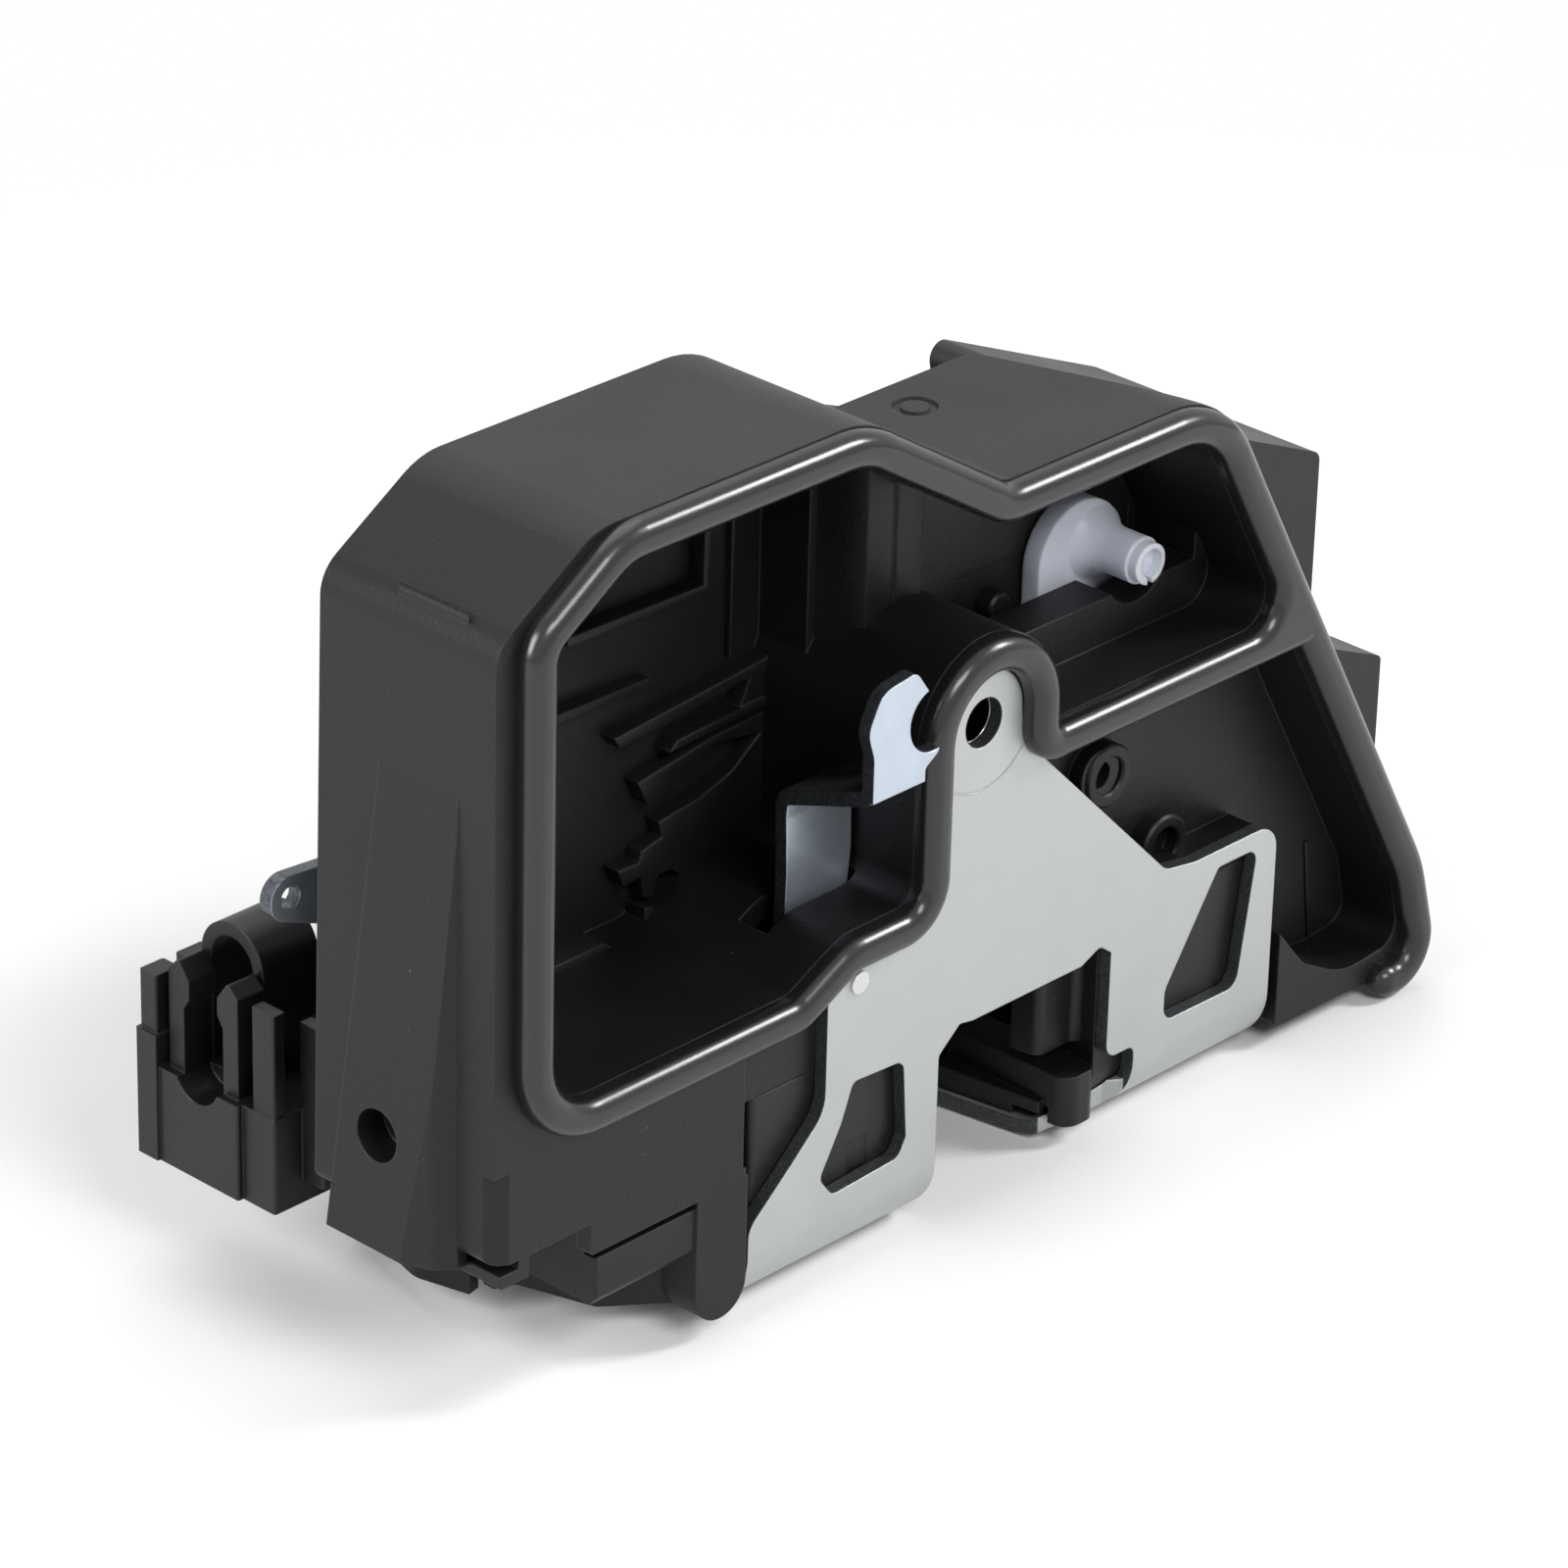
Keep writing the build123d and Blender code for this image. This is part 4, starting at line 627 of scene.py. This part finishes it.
def screw(name, centre, axis):
    """Pan-head screw with a six-lobed drive."""
    piece = turned(name, centre, axis, (
        (2.9, -0.6), (2.9, 0.5), (2.75, 1.1), (2.2, 1.6), (1.55, 1.75), (1.5, 1.75), (1.35, 0.7),
        (0.9, 0.5)), 36)
    bpy.ops.object.mode_set(mode="EDIT")
    start, along = Vector(centre) * MM, Vector(axis)

    def lobe_valley(corner):
        offset = corner.co - start
        height = offset.dot(along) / MM
        away = (offset - along * offset.dot(along)).length / MM
        return corner.index % 6 in (0, 1) and 0.4 < height < 1.8 and 0.8 < away < 1.52

    pick(piece, "VERT", lobe_valley)
    bpy.ops.transform.resize(value=(0.78, 1.0, 0.78), center_override=start)
    bpy.ops.object.mode_set(mode="OBJECT")
    return piece


class LATCH_OT_cover_screws(bpy.types.Operator):
    """Screws that hold the rear cover, each in its raised seat"""

    bl_idname = "latch.cover_screws"
    bl_label = "Cover screws"

    def execute(self, context):
        spots = ((-46.5, 30.5), (-45.0, 56.0), (-8.0, 66.5), (30.0, 62.0), (40.5, 30.5), (-4.0, 30.0))
        seats = [
            turned("seat", (x, COVER_BACK, z), (0, 1, 0), (
                (4.6, -0.4), (4.6, 0.5), (4.3, 0.8), (3.4, 0.8), (3.2, 0.2), (0.2, 0.2)))
            for x, z in spots]
        fitted(merged("cover_screw_seats", seats), "cover plastic")
        screws = [screw("screw", (x, COVER_BACK + 0.2, z), (0, 1, 0)) for x, z in spots]
        fitted(merged("cover_screws", screws), "turned steel")
        return {"FINISHED"}


class LATCH_OT_plug_terminals(bpy.types.Operator):
    """Blade terminals inside the wiring socket"""

    bl_idname = "latch.plug_terminals"
    bl_label = "Plug terminals"

    def execute(self, context):
        middle, length = 65.2, 8.6
        blades = []
        for y in (34.6, 39.4):
            for place in range(4):
                z = 14.6 + place * 4.6
                tip = Vector((middle + length / 2, y, z)) * MM
                bpy.ops.object.select_all(action="DESELECT")
                bpy.ops.mesh.primitive_cube_add(
                    size=MM, location=Vector((middle, y, z)) * MM, scale=(length, 0.64, 1.9))
                blade = into_mesh("blade")
                bpy.ops.object.mode_set(mode="EDIT")
                pick(blade, "FACE", lambda face: face.normal.x > 0.9)
                bpy.ops.transform.resize(value=(1.0, 0.45, 0.6), center_override=tip)
                bpy.ops.object.mode_set(mode="OBJECT")
                softened(blade, 0.08, 1)
                blades.append(blade)
        fitted(merged("plug_terminals", blades), "turned steel")
        return {"FINISHED"}


# ------------------------------------------------------------------ stage
def camera_axes(azimuth, elevation, roll):
    """Right, up and back directions of the camera."""
    back = Vector((sin(azimuth) * cos(elevation), -cos(azimuth) * cos(elevation), sin(elevation)))
    right = Vector((cos(azimuth), sin(azimuth), 0.0))
    up = back.cross(right)
    return right * cos(roll) + up * sin(roll), up * cos(roll) - right * sin(roll), back


def area_light(name, spot, aim, size, power):
    """Soft rectangular lamp at spot, turned to aim."""
    bpy.ops.object.light_add(type="AREA", location=spot)
    lamp = bpy.context.object
    lamp.name = name
    lamp.data.shape = "RECTANGLE"
    lamp.data.size, lamp.data.size_y = size
    lamp.data.energy = power
    lamp.rotation_euler = (Vector(spot) - Vector(aim)).to_track_quat("Z", "Y").to_euler()


def backdrop_material(name, colour):
    """Pale floor that keeps the shadow near the latch and runs out into plain white for the camera."""
    made, nodes, shader, _ = shaded(name, [], Roughness=0.9, Specular_IOR_Level=0.1)
    shader.inputs["Base Color"].default_value = (*colour, 1.0)
    reach = nodes.add("ShaderNodeVectorMath", operation="LENGTH")
    nodes.link(nodes.add("ShaderNodeTexCoord").outputs["Object"], reach.inputs[0])
    fade = nodes.remap(reach.outputs["Value"], 0.16, 0.34, 0.0, 1.0)
    rays = nodes.add("ShaderNodeLightPath")
    white = nodes.add("ShaderNodeEmission")
    mix = nodes.add("ShaderNodeMixShader")
    nodes.link(nodes.math("MULTIPLY", fade, rays.outputs["Is Camera Ray"]), mix.inputs["Fac"])
    nodes.link(shader.outputs["BSDF"], mix.inputs[1])
    nodes.link(white.outputs["Emission"], mix.inputs[2])
    nodes.link(mix.outputs["Shader"], made.node_tree.nodes["Material Output"].inputs["Surface"])
    return made


class LATCH_OT_stage(bpy.types.Operator):
    """Set the floor, the soft studio light and the camera"""

    bl_idname = "latch.stage"
    bl_label = "Stage and camera"

    def execute(self, context):
        stage = context.scene.latch_stage
        distance = 791.2 * MM
        frame_size, focal = 1600.0, 7200.0
        hole_across, hole_down = 1004.0, 737.5
        right, up, back = camera_axes(stage.azimuth, stage.elevation, stage.roll)
        bpy.ops.object.camera_add()
        camera = context.object
        camera.name = "camera"
        camera.data.sensor_width = 36.0
        camera.data.lens = focal / frame_size * camera.data.sensor_width
        camera.data.clip_start = 0.05
        aside = right * ((hole_across - frame_size / 2) / focal)
        above = up * ((frame_size / 2 - hole_down) / focal)
        camera.matrix_world = Matrix((right, up, back)).transposed().to_4x4()
        camera.location = PLATE_HOLE * MM + (back - aside - above) * distance
        context.scene.camera = camera

        low = Vector(CAD_BOUNDS[0])
        bpy.ops.mesh.primitive_plane_add(size=6.0, location=(0, 0, low.z - 0.0002))
        floor = context.object
        floor.name = "floor"
        floor.data.materials.append(backdrop_material("pale floor", (0.86, 0.86, 0.86)))

        centre = (0.0, 0.02, 0.05)
        level = stage.lamp_level
        area_light("key light", (-0.25, -0.75, 0.75), centre, (0.5, 0.3), 8.0 * level)
        area_light("side light", (-0.85, 0.15, 0.45), centre, (0.4, 0.5), 11.0 * level)
        area_light("top light", (0.15, 0.35, 0.95), centre, (0.8, 0.8), 4.5 * level)
        area_light("strip light", (0.65, -0.45, 0.64), centre, (0.2, 0.28), 8.5 * level)

        world = bpy.data.worlds.new("soft room")
        world.use_nodes = True
        nodes = Nodes(world.node_tree)
        sky = world.node_tree.nodes["Background"]
        sky.inputs["Color"].default_value = (1.0, 1.0, 1.0, 1.0)
        sky.inputs["Strength"].default_value = stage.room_light
        seen = nodes.add("ShaderNodeBackground")
        seen.inputs["Color"].default_value = (1.0, 1.0, 1.0, 1.0)
        seen.inputs["Strength"].default_value = 1.0
        rays = nodes.add("ShaderNodeLightPath")
        mirrored = nodes.math("MAXIMUM", rays.outputs["Is Glossy Ray"], rays.outputs["Is Transmission Ray"])
        mix = nodes.add("ShaderNodeMixShader")
        nodes.link(nodes.math("MAXIMUM", rays.outputs["Is Camera Ray"], mirrored), mix.inputs["Fac"])
        nodes.link(sky.outputs["Background"], mix.inputs[1])
        nodes.link(seen.outputs["Background"], mix.inputs[2])
        nodes.link(mix.outputs["Shader"], world.node_tree.nodes["World Output"].inputs["Surface"])
        context.scene.world = world
        context.scene.view_settings.view_transform = "Standard"
        return {"FINISHED"}


class LATCH_PT_panel(bpy.types.Panel):
    """Lists the latch's sizes, colours and building steps"""

    bl_idname = "LATCH_PT_panel"
    bl_label = "Door latch"
    bl_space_type = "VIEW_3D"
    bl_region_type = "UI"
    bl_category = "Door latch"

    def draw(self, context):
        for settings in (context.scene.latch_finishes, context.scene.latch_stage):
            for name in settings.__annotations__:
                self.layout.prop(settings, name)
        for step in STEPS:
            self.layout.operator(step.bl_idname)


SETTINGS = (LatchFinishes, LatchStage)
STEPS = (
    LATCH_OT_finishes, LATCH_OT_chamber_ribs, LATCH_OT_window_shield, LATCH_OT_stamped_ring,
    LATCH_OT_middle_pillar, LATCH_OT_recess_bosses, LATCH_OT_cover_screws, LATCH_OT_plug_terminals,
    LATCH_OT_stage,
)


def register():
    for cls in (*SETTINGS, *STEPS, LATCH_PT_panel):
        bpy.utils.register_class(cls)
    bpy.types.Scene.latch_finishes = bpy.props.PointerProperty(type=LatchFinishes)
    bpy.types.Scene.latch_stage = bpy.props.PointerProperty(type=LatchStage)


def unregister():
    del bpy.types.Scene.latch_stage
    del bpy.types.Scene.latch_finishes
    for cls in reversed((*SETTINGS, *STEPS, LATCH_PT_panel)):
        bpy.utils.unregister_class(cls)


def main():
    register()
    for step in STEPS:
        group, name = step.bl_idname.split(".")
        getattr(getattr(bpy.ops, group), name)()


if __name__ == "__main__":
    main()
